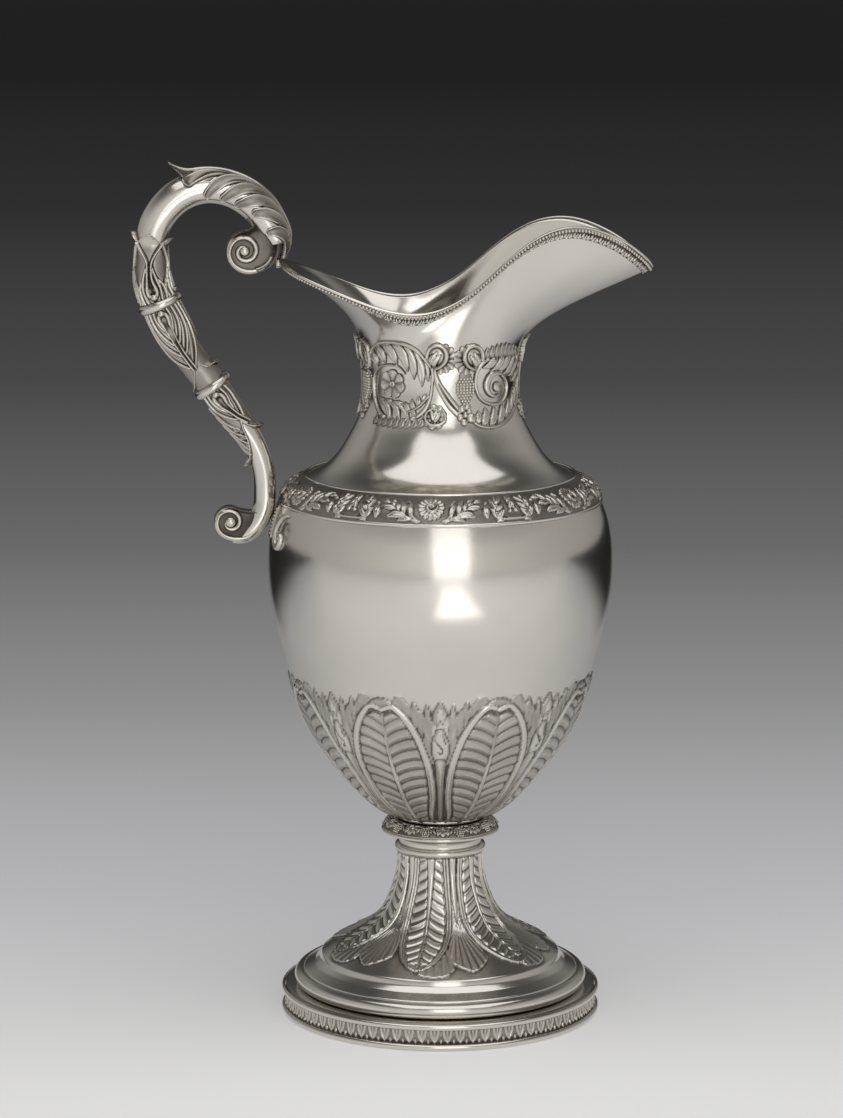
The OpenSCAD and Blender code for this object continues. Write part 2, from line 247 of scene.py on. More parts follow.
def pierced(name, place, h, recess, back=-0.6, wrap=False):
    """An openwork casting: place(h) sets heights on the wall; back is the height of its back."""
    number = np.arange(h.size).reshape(h.shape)
    tall = h
    if wrap:
        number, tall = np.hstack([number, number[:, :1]]), np.hstack([h, h[:, :1]])
    cell = np.maximum(np.maximum(tall[:-1, :-1], tall[1:, :-1]),
                      np.maximum(tall[:-1, 1:], tall[1:, 1:])) > CUT_BELOW
    corner = [number[:-1, :-1], number[:-1, 1:], number[1:, 1:], number[1:, :-1]]
    top = np.stack([c[cell] for c in corner], 1)
    under = top[:, ::-1] + h.size
    wide = np.pad(cell, 1)
    if wrap:
        wide[:, 0], wide[:, -1] = wide[:, -2], wide[:, 1]
    beside = [wide[:-2, 1:-1], wide[1:-1, 2:], wide[2:, 1:-1], wide[1:-1, :-2]]
    walls = []
    for k, other in enumerate(beside):
        edge = cell & ~other
        a, b = corner[k][edge], corner[(k + 1) % 4][edge]
        walls.append(np.stack([b, a, a + h.size, b + h.size], 1))
    faces = np.vstack([top, under, *walls])
    verts = np.concatenate([place(np.maximum(h, back + 0.1)).reshape(-1, 3),
                            place(np.full(h.shape, back)).reshape(-1, 3)])
    shade = np.concatenate([recess.ravel(), np.zeros(h.size)])
    used, faces = np.unique(faces, return_inverse=True)
    return mesh_piece(name, verts[used], faces.reshape(-1, 4), recess=shade[used])


def blur(h, reach, wrap=True):
    """Mean of h over reach cells each way, twice."""
    for _ in range(2):
        for axis in (0, 1):
            pad = [(0, 0), (0, 0)]
            pad[axis] = (reach, reach)
            mode = "wrap" if wrap and axis == 1 else "edge"
            total = np.cumsum(np.pad(h, pad, mode=mode), axis=axis)
            total = np.insert(total, 0, 0, axis=axis)
            size = 2 * reach + 1
            h = (np.take(total, range(size, total.shape[axis]), axis)
                 - np.take(total, range(total.shape[axis] - size), axis)) / size
    return h


def worn(h, low, high):
    """Recess of a casting: dark in its hollows, dull below height high, rubbed bright above."""
    dull = 0.45
    return np.maximum(hollowness(h, 4, 0.5), dull * smooth(h, high, low))


def hollowness(h, reach=4, depth=0.45, wrap=True):
    """How far each place lies below its surroundings: 0 on high ground, 1 deep in a recess."""
    return np.clip((blur(h, reach, wrap) - h) / depth, 0, 1)


# ---------------------------------------------------------------- relief

class Relief:
    """Heights in mm over a patch of silver: x runs across it and y runs up it, both in mm."""

    def __init__(self, x, y, ground=0.0):
        self.x, self.y = np.broadcast_arrays(np.asarray(x, float), np.asarray(y, float))
        self.h = np.full(self.x.shape, float(ground))

    def near(self, path, reach):
        """Distance from a path, share of its length there and side of it, close to the path."""
        p = np.asarray(path, float)
        low, high = p.min(0) - reach, p.max(0) + reach
        spot = (self.x > low[0]) & (self.x < high[0]) & (self.y > low[1]) & (self.y < high[1])
        x, y = self.x[spot], self.y[spot]
        far, share, side = np.full(x.shape, 1e9), np.zeros(x.shape), np.ones(x.shape)
        step = np.linalg.norm(np.diff(p, axis=0), axis=1)
        start = np.r_[0, np.cumsum(step)]
        for a, b, length, s in zip(p[:-1], p[1:], step, start):
            dx, dy = (b - a) / max(length, 1e-9)
            along = np.clip((x - a[0]) * dx + (y - a[1]) * dy, 0, length)
            ox, oy = x - a[0] - along * dx, y - a[1] - along * dy
            d = np.hypot(ox, oy)
            closer = d < far
            far[closer] = d[closer]
            share[closer] = ((s + along) / start[-1])[closer]
            side[closer] = np.where(dx * oy - dy * ox >= 0, 1, -1)[closer]
        return spot, far, share, side

    def lay(self, spot, inside, height, moat=0.35, cut=0.25):
        """Lays a shape over the ground: height where inside > 0, with a tooled line round it."""
        h = self.h[spot]
        groove = cut * np.exp(-(np.minimum(inside, 0) / moat) ** 2)
        edge = smooth(inside, -0.15, 0.15)
        self.h[spot] = (h - groove) * (1 - edge) + height * edge

    def stroke(self, path, width, height, base=0.0, round_to=0.5, count=36, **tooling):
        """A rounded cord along a path; width and height may change along it."""
        path = spline(path, count)
        width, height = np.atleast_1d(width), np.atleast_1d(height)
        spot, d, t, _ = self.near(path, width.max() / 2 + 1.2)
        half = np.interp(t, np.linspace(0, 1, len(width)), width) / 2
        tall = np.interp(t, np.linspace(0, 1, len(height)), height)
        section = np.clip(1 - (d / np.maximum(half, 1e-3)) ** 2, 0, 1) ** round_to
        self.lay(spot, half - d, base + tall * section, **tooling)

    def leaf(self, path, width, height, lobes=7, notch=0.25, base=0.0,
             form=(0.35, 0.9, 1, 0.85, 0.55, 0.1), **tooling):
        """A lobed leaf along its midrib, with plump lobes that sweep forward to its tip."""
        lean, rib, plump = 0.45, 0.35, 0.35
        path = spline(path, 30)
        spot, d, t, _ = self.near(path, width / 2 + 1.2)
        half = width / 2 * np.interp(t, np.linspace(0, 1, len(form)), form)
        q = np.clip(d / np.maximum(half, 1e-3), 0, 1.3)
        lobe = np.abs(np.sin(np.pi * (lobes * (t - lean * q * width / 10) + 0.25)))
        edge = half * (1 - notch * (1 - lobe) ** 1.5)
        body = 0.5 * np.sqrt(np.clip(1 - q * q, 0, 1)) + 0.5
        h = base + height * body * (1 - plump + plump * lobe ** 0.7 * smooth(q, 0.02, 0.3))
        h = h + rib * np.exp(-(d / 0.35) ** 2) * (1 - t)
        self.lay(spot, edge - d, h, **tooling)

    def bead(self, x, y, radius, height, base=0.0, **tooling):
        """A round boss."""
        spot = np.hypot(self.x - x, self.y - y) < radius + 1.2
        d = np.hypot(self.x[spot] - x, self.y[spot] - y)
        self.lay(spot, radius - d, base + height * np.sqrt(np.clip(1 - (d / radius) ** 2, 0, 1)),
                 **tooling)

    def flower(self, x, y, radius, petals, height, base=0.0, turn=0.0, eye=0.25):
        """An open flower: cupped petals with notched ends round a small raised eye."""
        spot = np.hypot(self.x - x, self.y - y) < radius + 1.2
        dx, dy = self.x[spot] - x, self.y[spot] - y
        d, a = np.hypot(dx, dy), np.arctan2(dy, dx) + turn
        petal = np.abs(np.cos(a * petals / 2))
        edge = radius * (0.84 + 0.16 * petal ** 0.5)
        q = d / radius
        h = base + height * (0.35 + 0.65 * q) * (0.45 + 0.55 * petal ** 0.6)
        h = h - 0.12 * np.abs(np.sin(a * petals * 1.5)) * q
        self.lay(spot, edge - d, h)
        self.bead(x, y, radius * eye, height * 0.5, base + height * 0.2, cut=0.1)

    def petal(self, start, tip, width, height, bend=0.0, base=0.0, form=(0.45, 0.9, 1, 0.75, 0.2),
              vein=0.3, **tooling):
        """A single curved lobe with a soft groove down its middle."""
        a, b = np.array(start, float), np.array(tip, float)
        across = np.array([a[1] - b[1], b[0] - a[0]])
        path = spline([a, (a + b) / 2 + across * bend, b], 12)
        spot, d, t, _ = self.near(path, width / 2 + 1.2)
        half = width / 2 * np.interp(t, np.linspace(0, 1, len(form)), form)
        q = np.clip(d / np.maximum(half, 1e-3), 0, 1.2)
        body = np.sqrt(np.clip(1 - q ** 2.5, 0, 1)) * (0.55 + 0.45 * np.sin(math.pi * t ** 0.8))
        self.lay(spot, half - d, base + height * body - vein * np.exp(-(d / 0.3) ** 2), **tooling)

    def gadroons(self, half, low, high, pitch, lean, bend, height, up=1, base=0.0):
        """A leaf's plump slanting lobes on both sides of x = 0, within half at each height y."""
        x = np.abs(self.x)
        inside = np.minimum(half - x, np.minimum(self.y - low, high - self.y))
        climb = np.maximum(lean * x - bend * x * x, 0)
        lobe = np.abs(np.sin(math.pi * (self.y - up * climb) / pitch))
        round_end = np.clip((half - x) / 1.3, 0, 1) ** 0.5
        spot = inside > -1.0
        scallop = inside - 0.7 * (1 - lobe)
        self.lay(spot, scallop[spot], (base + height * lobe ** 0.6 * round_end)[spot])

    def lobe(self, path, width, height, base=0.0, hollow=0.5, form=(0.3, 0.6, 0.85, 1, 0.9, 0.3),
             **tooling):
        """A long hollowed lobe with a raised rim, rounded at its end."""
        path = spline(path, 20)
        spot, d, t, _ = self.near(path, width / 2 + 1.2)
        half = width / 2 * np.interp(t, np.linspace(0, 1, len(form)), form)
        q = np.clip(d / np.maximum(half, 1e-3), 0, 1)
        dish = 1 - hollow * np.clip(1 - (q / 0.8) ** 2, 0, 1) * smooth(t, 0, 0.5)
        self.lay(spot, half - d, base + height * dish * np.sqrt(np.clip(1.02 - q ** 8, 0, 1)), **tooling)

    def shifted(self, x, y=None):
        """The same ground seen from another middle line."""
        other = Relief(x, self.y if y is None else y)
        other.h = self.h
        return other

    def roughen(self, where, depth, seed):
        """A matted ground, punched all over with a fine tool."""
        grain = np.random.default_rng(seed).standard_normal(self.h.shape)
        self.h += np.where(where, depth * grain, 0)


# ---------------------------------------------------------------- materials

def colour(code):
    """Linear colour from an sRGB hex value."""
    parts = [int(code[i:i + 2], 16) / 255 for i in (1, 3, 5)]
    return (*[c / 12.92 if c <= 0.04045 else ((c + 0.055) / 1.055) ** 2.4 for c in parts], 1)


def new_material(name):
    """A material with an empty node tree, and that tree."""
    material = bpy.data.materials.new(name)
    material.use_nodes = True
    tree = material.node_tree
    tree.nodes.clear()
    return material, tree


def node(tree, kind, links=(), values=(), **settings):
    """Adds a node with settings, socket values and links from other nodes' outputs."""
    made = tree.nodes.new(kind)
    for key, value in settings.items():
        setattr(made, key, value)
    for socket, value in dict(values).items():
        made.inputs[socket].default_value = value
    for socket, (other, output) in dict(links).items():
        tree.links.new(other.outputs[output], made.inputs[socket])
    return made


def silver(name, bright, tarnish, gloss, grain_mm, grain_depth, matt=0.5, wave=0.0):
    """Sterling silver: bright where it is rubbed, brown-grey oxide left in the hollows.

    gloss is the roughness of the rubbed metal and matt that of the oxide; grain_mm is the
    spacing of the fine rubbing marks, and wave the soft unevenness that planishing leaves.
    """
    material, tree = new_material(name)
    place = node(tree, "ShaderNodeTexCoord")
    hollow = node(tree, "ShaderNodeAttribute", attribute_name="recess")
    cloud = node(tree, "ShaderNodeTexNoise", {"Vector": (place, "Object")},
                 {"Scale": 1 / (22 * MM), "Detail": 4.0, "Roughness": 0.55})
    fine = node(tree, "ShaderNodeTexNoise", {"Vector": (place, "Object")},
                {"Scale": 1 / (grain_mm * MM), "Detail": 6.0, "Roughness": 0.7})
    # The oxide reaches a little out of the hollows, unevenly.
    spread = node(tree, "ShaderNodeMath", {0: (cloud, "Fac")}, {1: 0.5, 2: -0.25},
                  operation="MULTIPLY_ADD")
    amount = node(tree, "ShaderNodeMath", {0: (hollow, "Fac"), 1: (spread, "Value")},
                  operation="ADD", use_clamp=True)
    stain = node(tree, "ShaderNodeMapRange", {"Value": (amount, "Value")},
                 {"From Min": 0.12, "From Max": 0.85})
    tint = node(tree, "ShaderNodeMix", {"Factor": (cloud, "Fac")}, data_type="RGBA")
    tint.inputs[6].default_value = colour(bright)
    tint.inputs[7].default_value = tuple(0.9 * c for c in colour(bright)[:3]) + (1,)
    tone = node(tree, "ShaderNodeMix", {"Factor": (stain, "Result")}, data_type="RGBA")
    tree.links.new(tint.outputs[2], tone.inputs[6])
    tone.inputs[7].default_value = colour(tarnish)
    rough = node(tree, "ShaderNodeMapRange", {"Value": (fine, "Fac")},
                 {"From Min": 0.3, "From Max": 0.7, "To Min": gloss * 0.8, "To Max": gloss * 1.25})
    dull = node(tree, "ShaderNodeMix", {"Factor": (stain, "Result"), "A": (rough, "Result")},
                {"B": matt}, data_type="FLOAT")
    marks = node(tree, "ShaderNodeBump", {"Height": (fine, "Fac")},
                 {"Strength": 0.35, "Distance": grain_depth * MM})
    swell = node(tree, "ShaderNodeBump", {"Height": (cloud, "Fac"), "Normal": (marks, "Normal")},
                 {"Strength": 1.0, "Distance": max(wave, 0.0001) * MM})
    shader = node(tree, "ShaderNodeBsdfPrincipled",
                  {"Roughness": (dull, "Result"), "Normal": (swell, "Normal")}, {"Metallic": 1.0})
    tree.links.new(tone.outputs[2], shader.inputs["Base Color"])
    node(tree, "ShaderNodeOutputMaterial", {"Surface": (shader, "BSDF")})
    return material


def raised_sheet():
    """Hand-raised sheet, planished and burnished: soft mirror with faint waves and wipe marks."""
    return silver("raised sheet silver", "#dcd8d0", "#6a655c", gloss=0.17, grain_mm=0.9,
                  grain_depth=0.004, wave=0.05)


def chased_sheet():
    """Chased sheet: rubbed lights over hollows that were oxidised and left dull."""
    return silver("chased sheet silver", "#cfcac0", "#403b35", gloss=0.22, grain_mm=0.5,
                  grain_depth=0.01, matt=0.45)


def cast_mount():
    """Cast and chased silver: slightly softer gloss, dark in the deep parts of the casting."""
    return silver("cast silver", "#d2cdc3", "#3d3832", gloss=0.22, grain_mm=0.6,
                  grain_depth=0.01, matt=0.5)


def drawn_wire():
    """Drawn wire: the brightest metal, with fine marks from the draw plate."""
    return silver("drawn silver wire", "#e0dcd4", "#5a554d", gloss=0.14, grain_mm=0.35,
                  grain_depth=0.004)


SHEET = raised_sheet()
CHASED = chased_sheet()
CAST = cast_mount()
WIRE = drawn_wire()


# ---------------------------------------------------------------- outlines, as the CAD's

def side(node_name, corner):
    """Radius or height in mm of a node's box: corner is low or high."""
    low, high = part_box(node_name)
    return {"r": high[0] / MM, "low": low[2] / MM, "high": high[2] / MM}[corner]


FOOT_R = side("foot_leaf_band", "r")
FOOT_H = side("foot_leaf_band", "high")
WIRE_D = 3.2
STEP_TOP = side("foot_step", "high")
RING_Z = (side("stem_ring", "low") + side("stem_ring", "high")) / 2
COLLAR_Z = side("collar_edge_wire", "high") - 1
COLLAR_R = side("collar", "r")
BOWL_Z = side("bowl", "low")
SHEET_T = 1.2

DOME = [(57, 28.7), (50.5, 32.6), (43.5, 36.2), (37, 39.8), (31.4, 43.8), (27, 49), (23.6, 56),
        (21, 64), (19.8, 71.5), (19.9, 78.4)]
BOWL = [(21.5, 97.4), (27, 99.6), (34, 104.4), (42.2, 112), (50.4, 122), (57.6, 132),
        (63.2, 141.6), (68.4, 154), (72.4, 167), (76, 180), (79.2, 192), (81.4, 205),
        (82, 217.5), (81.3, 231), (79.2, 241), (76, 250)]
SHOULDER = [(76, 250), (74.6, 254.2), (70.4, 257.9), (64.4, 261)]
NECK = [(64.4, 261), (57, 263.9), (51.8, 268), (47.4, 273.4), (43.6, 279.8), (40.2, 286.2),
        (37.6, 293), (36.4, 300), (36.2, 307), (36.8, 315), (38.2, 322)]
# Mouth edge from the spout's tip to the handle: distance along, half width, height.
RIM = [(99.5, 0, 358.8), (98, 5.5, 360.6), (93.5, 11, 364.8), (85.5, 16, 370.8),
       (75.5, 20.5, 376), (63, 24.5, 379.4), (49.5, 28.5, 378), (37, 32, 372), (25, 34.5, 362.6),
       (12.5, 36.5, 352), (0, 38, 344.6), (-12, 39, 341.2), (-26, 39, 342.4), (-42, 38.5, 348),
       (-56, 35.5, 353.8), (-67, 28, 358.4), (-73, 16, 361.2), (-75, 0, 362.6)]
# Centre line of the handle from the upper scroll to the lower one: x, z and radius.
HANDLE = [(-81.5, 382, 7.2), (-86.5, 388.8, 7.6), (-95.5, 395.2, 7.6), (-107.5, 398.2, 7.6),
          (-118.8, 396.2, 7.8), (-127, 390.6, 7.7), (-132.6, 383.2, 7.5), (-135.3, 375, 7.2),
          (-135.6, 365, 7), (-135.2, 355, 7.6), (-131.7, 344, 8.2), (-127, 334, 8.2),
          (-120.6, 322.5, 7.6), (-114, 313.5, 7.4), (-107.5, 305, 7.2), (-101.3, 296.3, 6.6),
          (-95.2, 288, 6), (-89.8, 280.4, 5.4), (-85.8, 272, 5), (-83.6, 263, 5.1),
          (-83.2, 254, 5.2), (-84.2, 245.5, 5.1), (-88, 238.2, 4.8)]


# ---------------------------------------------------------------- repeats

def bead_tree():
    """Geometry nodes: a small round bead on every place of the input."""
    tree = bpy.data.node_groups.new("beads on places", "GeometryNodeTree")
    face = tree.interface
    face.new_socket("Places", in_out="INPUT", socket_type="NodeSocketGeometry")
    face.new_socket("Bead radius", in_out="INPUT", socket_type="NodeSocketFloat")
    face.new_socket("Metal", in_out="INPUT", socket_type="NodeSocketMaterial")
    face.new_socket("Geometry", in_out="OUTPUT", socket_type="NodeSocketGeometry")
    given = node(tree, "NodeGroupInput")
    ball = node(tree, "GeometryNodeMeshUVSphere", {"Radius": (given, "Bead radius")},
                {"Segments": 10, "Rings": 6})
    smooth_ball = node(tree, "GeometryNodeSetShadeSmooth", {"Geometry": (ball, "Mesh")})
    put = node(tree, "GeometryNodeInstanceOnPoints",
               {"Points": (given, "Places"), "Instance": (smooth_ball, "Geometry")})
    real = node(tree, "GeometryNodeRealizeInstances", {"Geometry": (put, "Instances")})
    metal = node(tree, "GeometryNodeSetMaterial",
                 {"Geometry": (real, "Geometry"), "Material": (given, "Metal")})
    node(tree, "NodeGroupOutput", {"Geometry": (metal, "Geometry")})
    return tree


def ring_tree():
    """Geometry nodes: the input repeated round a ring about the z axis, facing outward."""
    tree = bpy.data.node_groups.new("round a ring", "GeometryNodeTree")
    face = tree.interface
    face.new_socket("One", in_out="INPUT", socket_type="NodeSocketGeometry")
    face.new_socket("Count", in_out="INPUT", socket_type="NodeSocketInt")
    face.new_socket("Ring radius", in_out="INPUT", socket_type="NodeSocketFloat")
    face.new_socket("Metal", in_out="INPUT", socket_type="NodeSocketMaterial")
    face.new_socket("Geometry", in_out="OUTPUT", socket_type="NodeSocketGeometry")
    given = node(tree, "NodeGroupInput")
    ring = node(tree, "GeometryNodeMeshCircle", {"Vertices": (given, "Count"),
                                                 "Radius": (given, "Ring radius")})
    index = node(tree, "GeometryNodeInputIndex")
    step = node(tree, "ShaderNodeMath", {1: (given, "Count")}, {0: TURN}, operation="DIVIDE")
    turn = node(tree, "ShaderNodeMath", {0: (index, "Index"), 1: (step, "Value")},
                operation="MULTIPLY")
    about_z = node(tree, "ShaderNodeCombineXYZ", {"Z": (turn, "Value")})
    put = node(tree, "GeometryNodeInstanceOnPoints",
               {"Points": (ring, "Mesh"), "Instance": (given, "One"), "Rotation": (about_z, "Vector")})
    real = node(tree, "GeometryNodeRealizeInstances", {"Geometry": (put, "Instances")})
    metal = node(tree, "GeometryNodeSetMaterial",
                 {"Geometry": (real, "Geometry"), "Material": (given, "Metal")})
    node(tree, "NodeGroupOutput", {"Geometry": (metal, "Geometry")})
    return tree


def grown(name, base, tree, **inputs):
    """Runs a geometry node tree on a base object and keeps the result as a plain mesh."""
    way = base.modifiers.new("repeat", "NODES")
    way.node_group = tree
    names = {item.name: item.identifier for item in tree.interface.items_tree
             if item.item_type == "SOCKET" and item.in_out == "INPUT"}
    for key, value in inputs.items():
        way[names[key.replace("_", " ")]] = value
    bpy.context.view_layer.update()
    seen = base.evaluated_get(bpy.context.evaluated_depsgraph_get())
    mesh = bpy.data.meshes.new_from_object(seen)
    mesh.name = name
    bpy.data.objects.remove(base)
    piece = bpy.data.objects.new(name, mesh)
    bpy.context.scene.collection.objects.link(piece)
    return piece


BEADS = bead_tree()
ROUND_A_RING = ring_tree()


def beads(name, places, radius, material):
    """Round beads of one size at places in mm."""
    mesh = bpy.data.meshes.new(name + " places")
    mesh.from_pydata([tuple(v) for v in np.asarray(places) * MM], [], [])
    base = bpy.data.objects.new(name + " places", mesh)
    bpy.context.scene.collection.objects.link(base)
    return grown(name, base, BEADS, Bead_radius=radius * MM, Metal=material)


# ---------------------------------------------------------------- foot

def half_round(r, z, width, tilt=0.0, places=9):
    """Outline of a half-round wire lying against a wall, its flat at (r, z)."""
    a = np.radians(np.linspace(-90, 90, places) + tilt)
    return np.stack([r + width / 2 * np.cos(a), z + width / 2 * np.sin(a)], 1)


# Number of hanging leaves round the foot's edge.
TONGUES = 78


def make_foot():
    """Wires, band of hanging leaves, flange and stepped moulding at the bottom of the foot."""
    wall, face, back = FOOT_R, FOOT_R - 0.7, FOOT_R - 1.4
    for name, z in (("foot_lower_wire", WIRE_D / 2), ("foot_upper_wire", FOOT_H - WIRE_D / 2)):
        finish_piece(turned(name, half_round(wall, z, WIRE_D)), WIRE, "silver_wire", name)
    band = [(back, 0), (face, 0), (face, FOOT_H), (back, FOOT_H)]
    piece = turned("foot_leaf_band", band)
    piece.data.attributes["recess"].data.foreach_set("value", np.full(len(piece.data.vertices), 0.5))
    finish_piece(piece, CHASED, "chased_silver", "foot_leaf_band")
    low, high = WIRE_D - 0.4, FOOT_H - WIRE_D + 0.4
    x = np.arange(-3, 3.01, 0.3)
    y = np.arange(low, high, 0.3)
    tongue = Relief(x[None], y[:, None], -1)
    tongue.petal((3, low + 0.2), (3, low + 3.2), 1.5, 0.7, vein=0)
    tongue.petal((-3, low + 0.2), (-3, low + 3.2), 1.5, 0.7, vein=0)
    blade = (1, 1, 1, 0.95, 0.85, 0.6, 0.1)
    tongue.petal((0, high + 2.6), (0, low + 0.4), 5.2, 0.8, form=blade, vein=0)
    tongue.petal((0, high + 2.6), (0, low + 1.8), 3.2, -0.5, base=0.6, vein=0, cut=0, form=blade)
    tongue.stroke([(0, high), (0, low + 4.4)], (1.1, 0.9, 0.3), 0.45, base=0.2, cut=0)
    grid_x, grid_y = np.broadcast_arrays(x[None], y[:, None])
    one = pierced("tongue", lambda h: np.stack([h, grid_x, grid_y], -1), tongue.h,
                  hollowness(tongue.h, 2, 0.35, False))
    piece = grown("foot_tongues", one, ROUND_A_RING, Count=TONGUES, Ring_radius=face * MM,
                  Metal=CHASED)
    finish_piece(piece, CHASED, "chased_silver", "foot_leaf_band")
    inner = 65
    flange = [(inner, FOOT_H - SHEET_T), (back, FOOT_H - SHEET_T), (back, FOOT_H), (inner, FOOT_H)]
    finish_piece(turned("foot_flange", rounded(flange, 0.3)), SHEET, "polished_silver", "foot_flange")
    step_h = STEP_TOP - FOOT_H
    bulge = half_round(66.6, FOOT_H + step_h / 2, step_h, places=15)
    step = np.vstack([[(inner, FOOT_H)], bulge, [(inner, STEP_TOP)]])
    finish_piece(turned("foot_step", step, 320), SHEET, "polished_silver", "foot_step")


def foot_dome_outline():
    """Outer outline of the dome, from its lowest edge up to the ring on the stem."""
    skirt = [(66.4, 20.6), (64.6, 21.6), (60.5, 23.4), (58, 26), (57.4, 28.1)]
    low = rounded_open(skirt, 0.7)
    return low, spline(DOME, 150)


# Bearing of the pitcher's side that faces the camera, and of the dome's leaf next to it.
FRONT = math.radians(-95)
DOME_LEAVES = 6
DOME_TURN = math.radians(-107.5)


def chase_dome(angle, s, r):
    """Six long veined leaves down the stem, fluted fans between their tips."""
    cell = TURN / DOME_LEAVES
    a = (angle - DOME_TURN + cell / 2) % cell - cell / 2
    leaf = Relief(a[None] * r[:, None], s[:, None])
    gap = leaf.shifted(((angle - DOME_TURN) % cell - cell / 2)[None] * r[:, None])
    tuft = leaf.shifted(((angle - DOME_TURN - 0.16 + cell / 2) % cell - cell / 2)[None] * r[:, None])
    top = s[-1]
    for fan, edge_y, edge_x, low_base in (
            (tuft, (1.4, 1.9, 3.2, 7, 40, top), (0.5, 4.4, 7.6, 9.6, 2.2, 1.6), 0.0),
            (gap, (4.6, 5.2, 9, 13.5, 40, top), (0.4, 2.2, 6.8, 9.8, 2.2, 1.6), 0.2)):
        bearing = np.arctan2(fan.x, 36 - fan.y)
        flute = np.abs(np.sin(bearing * 24))
        scallop = 0.5 * flute * (fan.y < 12)
        border = np.interp(fan.y, edge_y, edge_x) - np.abs(fan.x)
        inside = np.minimum(border, fan.y - edge_y[0]) + scallop
        rise = low_base + 0.2 + 0.3 * smooth(fan.y, 46, edge_y[0]) + 0.32 * flute
        spot = inside > -1
        fan.lay(spot, inside[spot], rise[spot], cut=0.15)
    gap.stroke([(0, 36), (0, 50), (0, top + 2)], (0.6, 2.6, 3), (0.3, 0.8, 0.8))
    outer = np.interp(s, (5, 6.2, 8, 11, 15, 21, 29, 40, 52, 60, top),
                      (0.5, 3.6, 6, 8.4, 10, 11.6, 12, 11, 9.2, 8.4, 8.1))[:, None]
    x = np.abs(leaf.x)
    inside = np.minimum(outer - x, leaf.y - 5)
    spot = inside > -1.5
    ground = 0.55
    leaf.lay(spot, inside[spot], np.full(leaf.h.shape, ground)[spot], moat=0.6, cut=0.35)
    for off, width, tall in ((0.55, 1.1, 1.25), (1.9, 0.8, 1.05)):
        line = np.clip(1 - ((x - outer + off) / (width / 2)) ** 2, 0, 1) ** 0.5
        raised = np.maximum(leaf.h, ground + (tall - ground) * line)
        leaf.h[:] = np.where((line > 0) & (leaf.y > 5.5), raised, leaf.h)
    leaf.gadroons(outer - 2.5, 9.5, top + 6, 4.9, 0.85, 0.035, 0.85, up=-1, base=0.35)
    leaf.stroke([(0, 8), (0, 30), (0, top + 2)], (0.7, 1.5, 4), (0.9, 1.2, 1.15), cut=0.3)
    return leaf.h * smooth(leaf.y, top + 0.5, top - 0.3)


def make_dome():
    """Domed foot and stem in one sheet, chased with leaves."""
    low, high = foot_dome_outline()
    wall = Wall(np.vstack([low, high]))
    start = wall.s[len(low)]
    rise = np.linspace(start, wall.length, 132)
    columns = DOME_LEAVES * 112
    angle = np.arange(columns) * TURN / columns
    relief = chase_dome(angle, rise - start, wall.at(rise)[0])
    few = angle[::COARSER]
    skirt = wall.s[:len(low)]
    flat = np.zeros((len(skirt), len(few)))
    back = np.linspace(wall.length, 0, 24)
    inner = np.zeros((len(back), len(few)))
    piece = loft("foot_dome", [
        (wall.places(few[None], skirt[:, None], flat), flat),
        (wall.places(angle[None], rise[:, None], relief), hollowness(relief, 4, 0.4)),
        (wall.places(few[None], back[:, None], inner - SHEET_T), inner)])
    finish_piece(piece, SHEET, "chased_silver", "foot_dome")


COLLAR_SLOPE = [(COLLAR_R, COLLAR_Z + 1.2), (COLLAR_R - 2, COLLAR_Z + 3.8), (22.6, COLLAR_Z + 5.4)]


def make_grape_band():
    """Ten bunches of grapes and vine leaves on the collar's slope."""
    wall = Wall(spline(COLLAR_SLOPE, 30))
    rise = np.linspace(0, wall.length, 30)
    angle = np.arange(900) * TURN / 900
    cell = TURN / 10
    a = (angle - FRONT - math.radians(3) + cell / 2) % cell - cell / 2
    slope = Relief(a[None] * wall.at(rise)[0][:, None], rise[:, None])
    mirror = slope.shifted(np.abs(slope.x))
    for root, tip, width in (((0, 4.6), (0, 0.8), 2.4), ((0.4, 4.4), (2.6, 1.4), 2.2),
                             ((0.6, 4.8), (3.2, 3.6), 2), ((4.6, 5.4), (3.4, 2.2), 1.4)):
        mirror.petal(root, tip, width, 0.7, bend=0.1)
    slope.stroke([(-7, 5.6), (-3.4, 6), (0, 5), (2.6, 6), (5, 5.4)], 0.6, 0.7)
    slope.stroke([(0.4, 6), (-1, 4.6), (0.8, 3.8), (1.2, 5)], 0.5, 0.7, base=0.2)
    half = cell / 2 * 25.4
    for k, count in enumerate((2, 3, 5, 5, 4)):
        for i in range(count):
            mirror.bead(half + 1.12 * (i - (count - 1) / 2), 1.0 + 0.98 * k, 0.55, 0.6, base=0.2, cut=0.2)
    slope.roughen(slope.y > -1, 0.02, 5)
    relief = 0.25 + slope.h * smooth(slope.y, 0, 0.5) * smooth(slope.y, rise[-1], rise[-1] - 0.5)
    recess = np.maximum(hollowness(relief, 3, 0.3), 0.55 * smooth(slope.h, 0.25, 0.02))
    piece = turned_relief("collar_grape_band", wall, rise, relief, recess, 4)
    finish_piece(piece, CHASED, "chased_silver", "collar_grape_band")


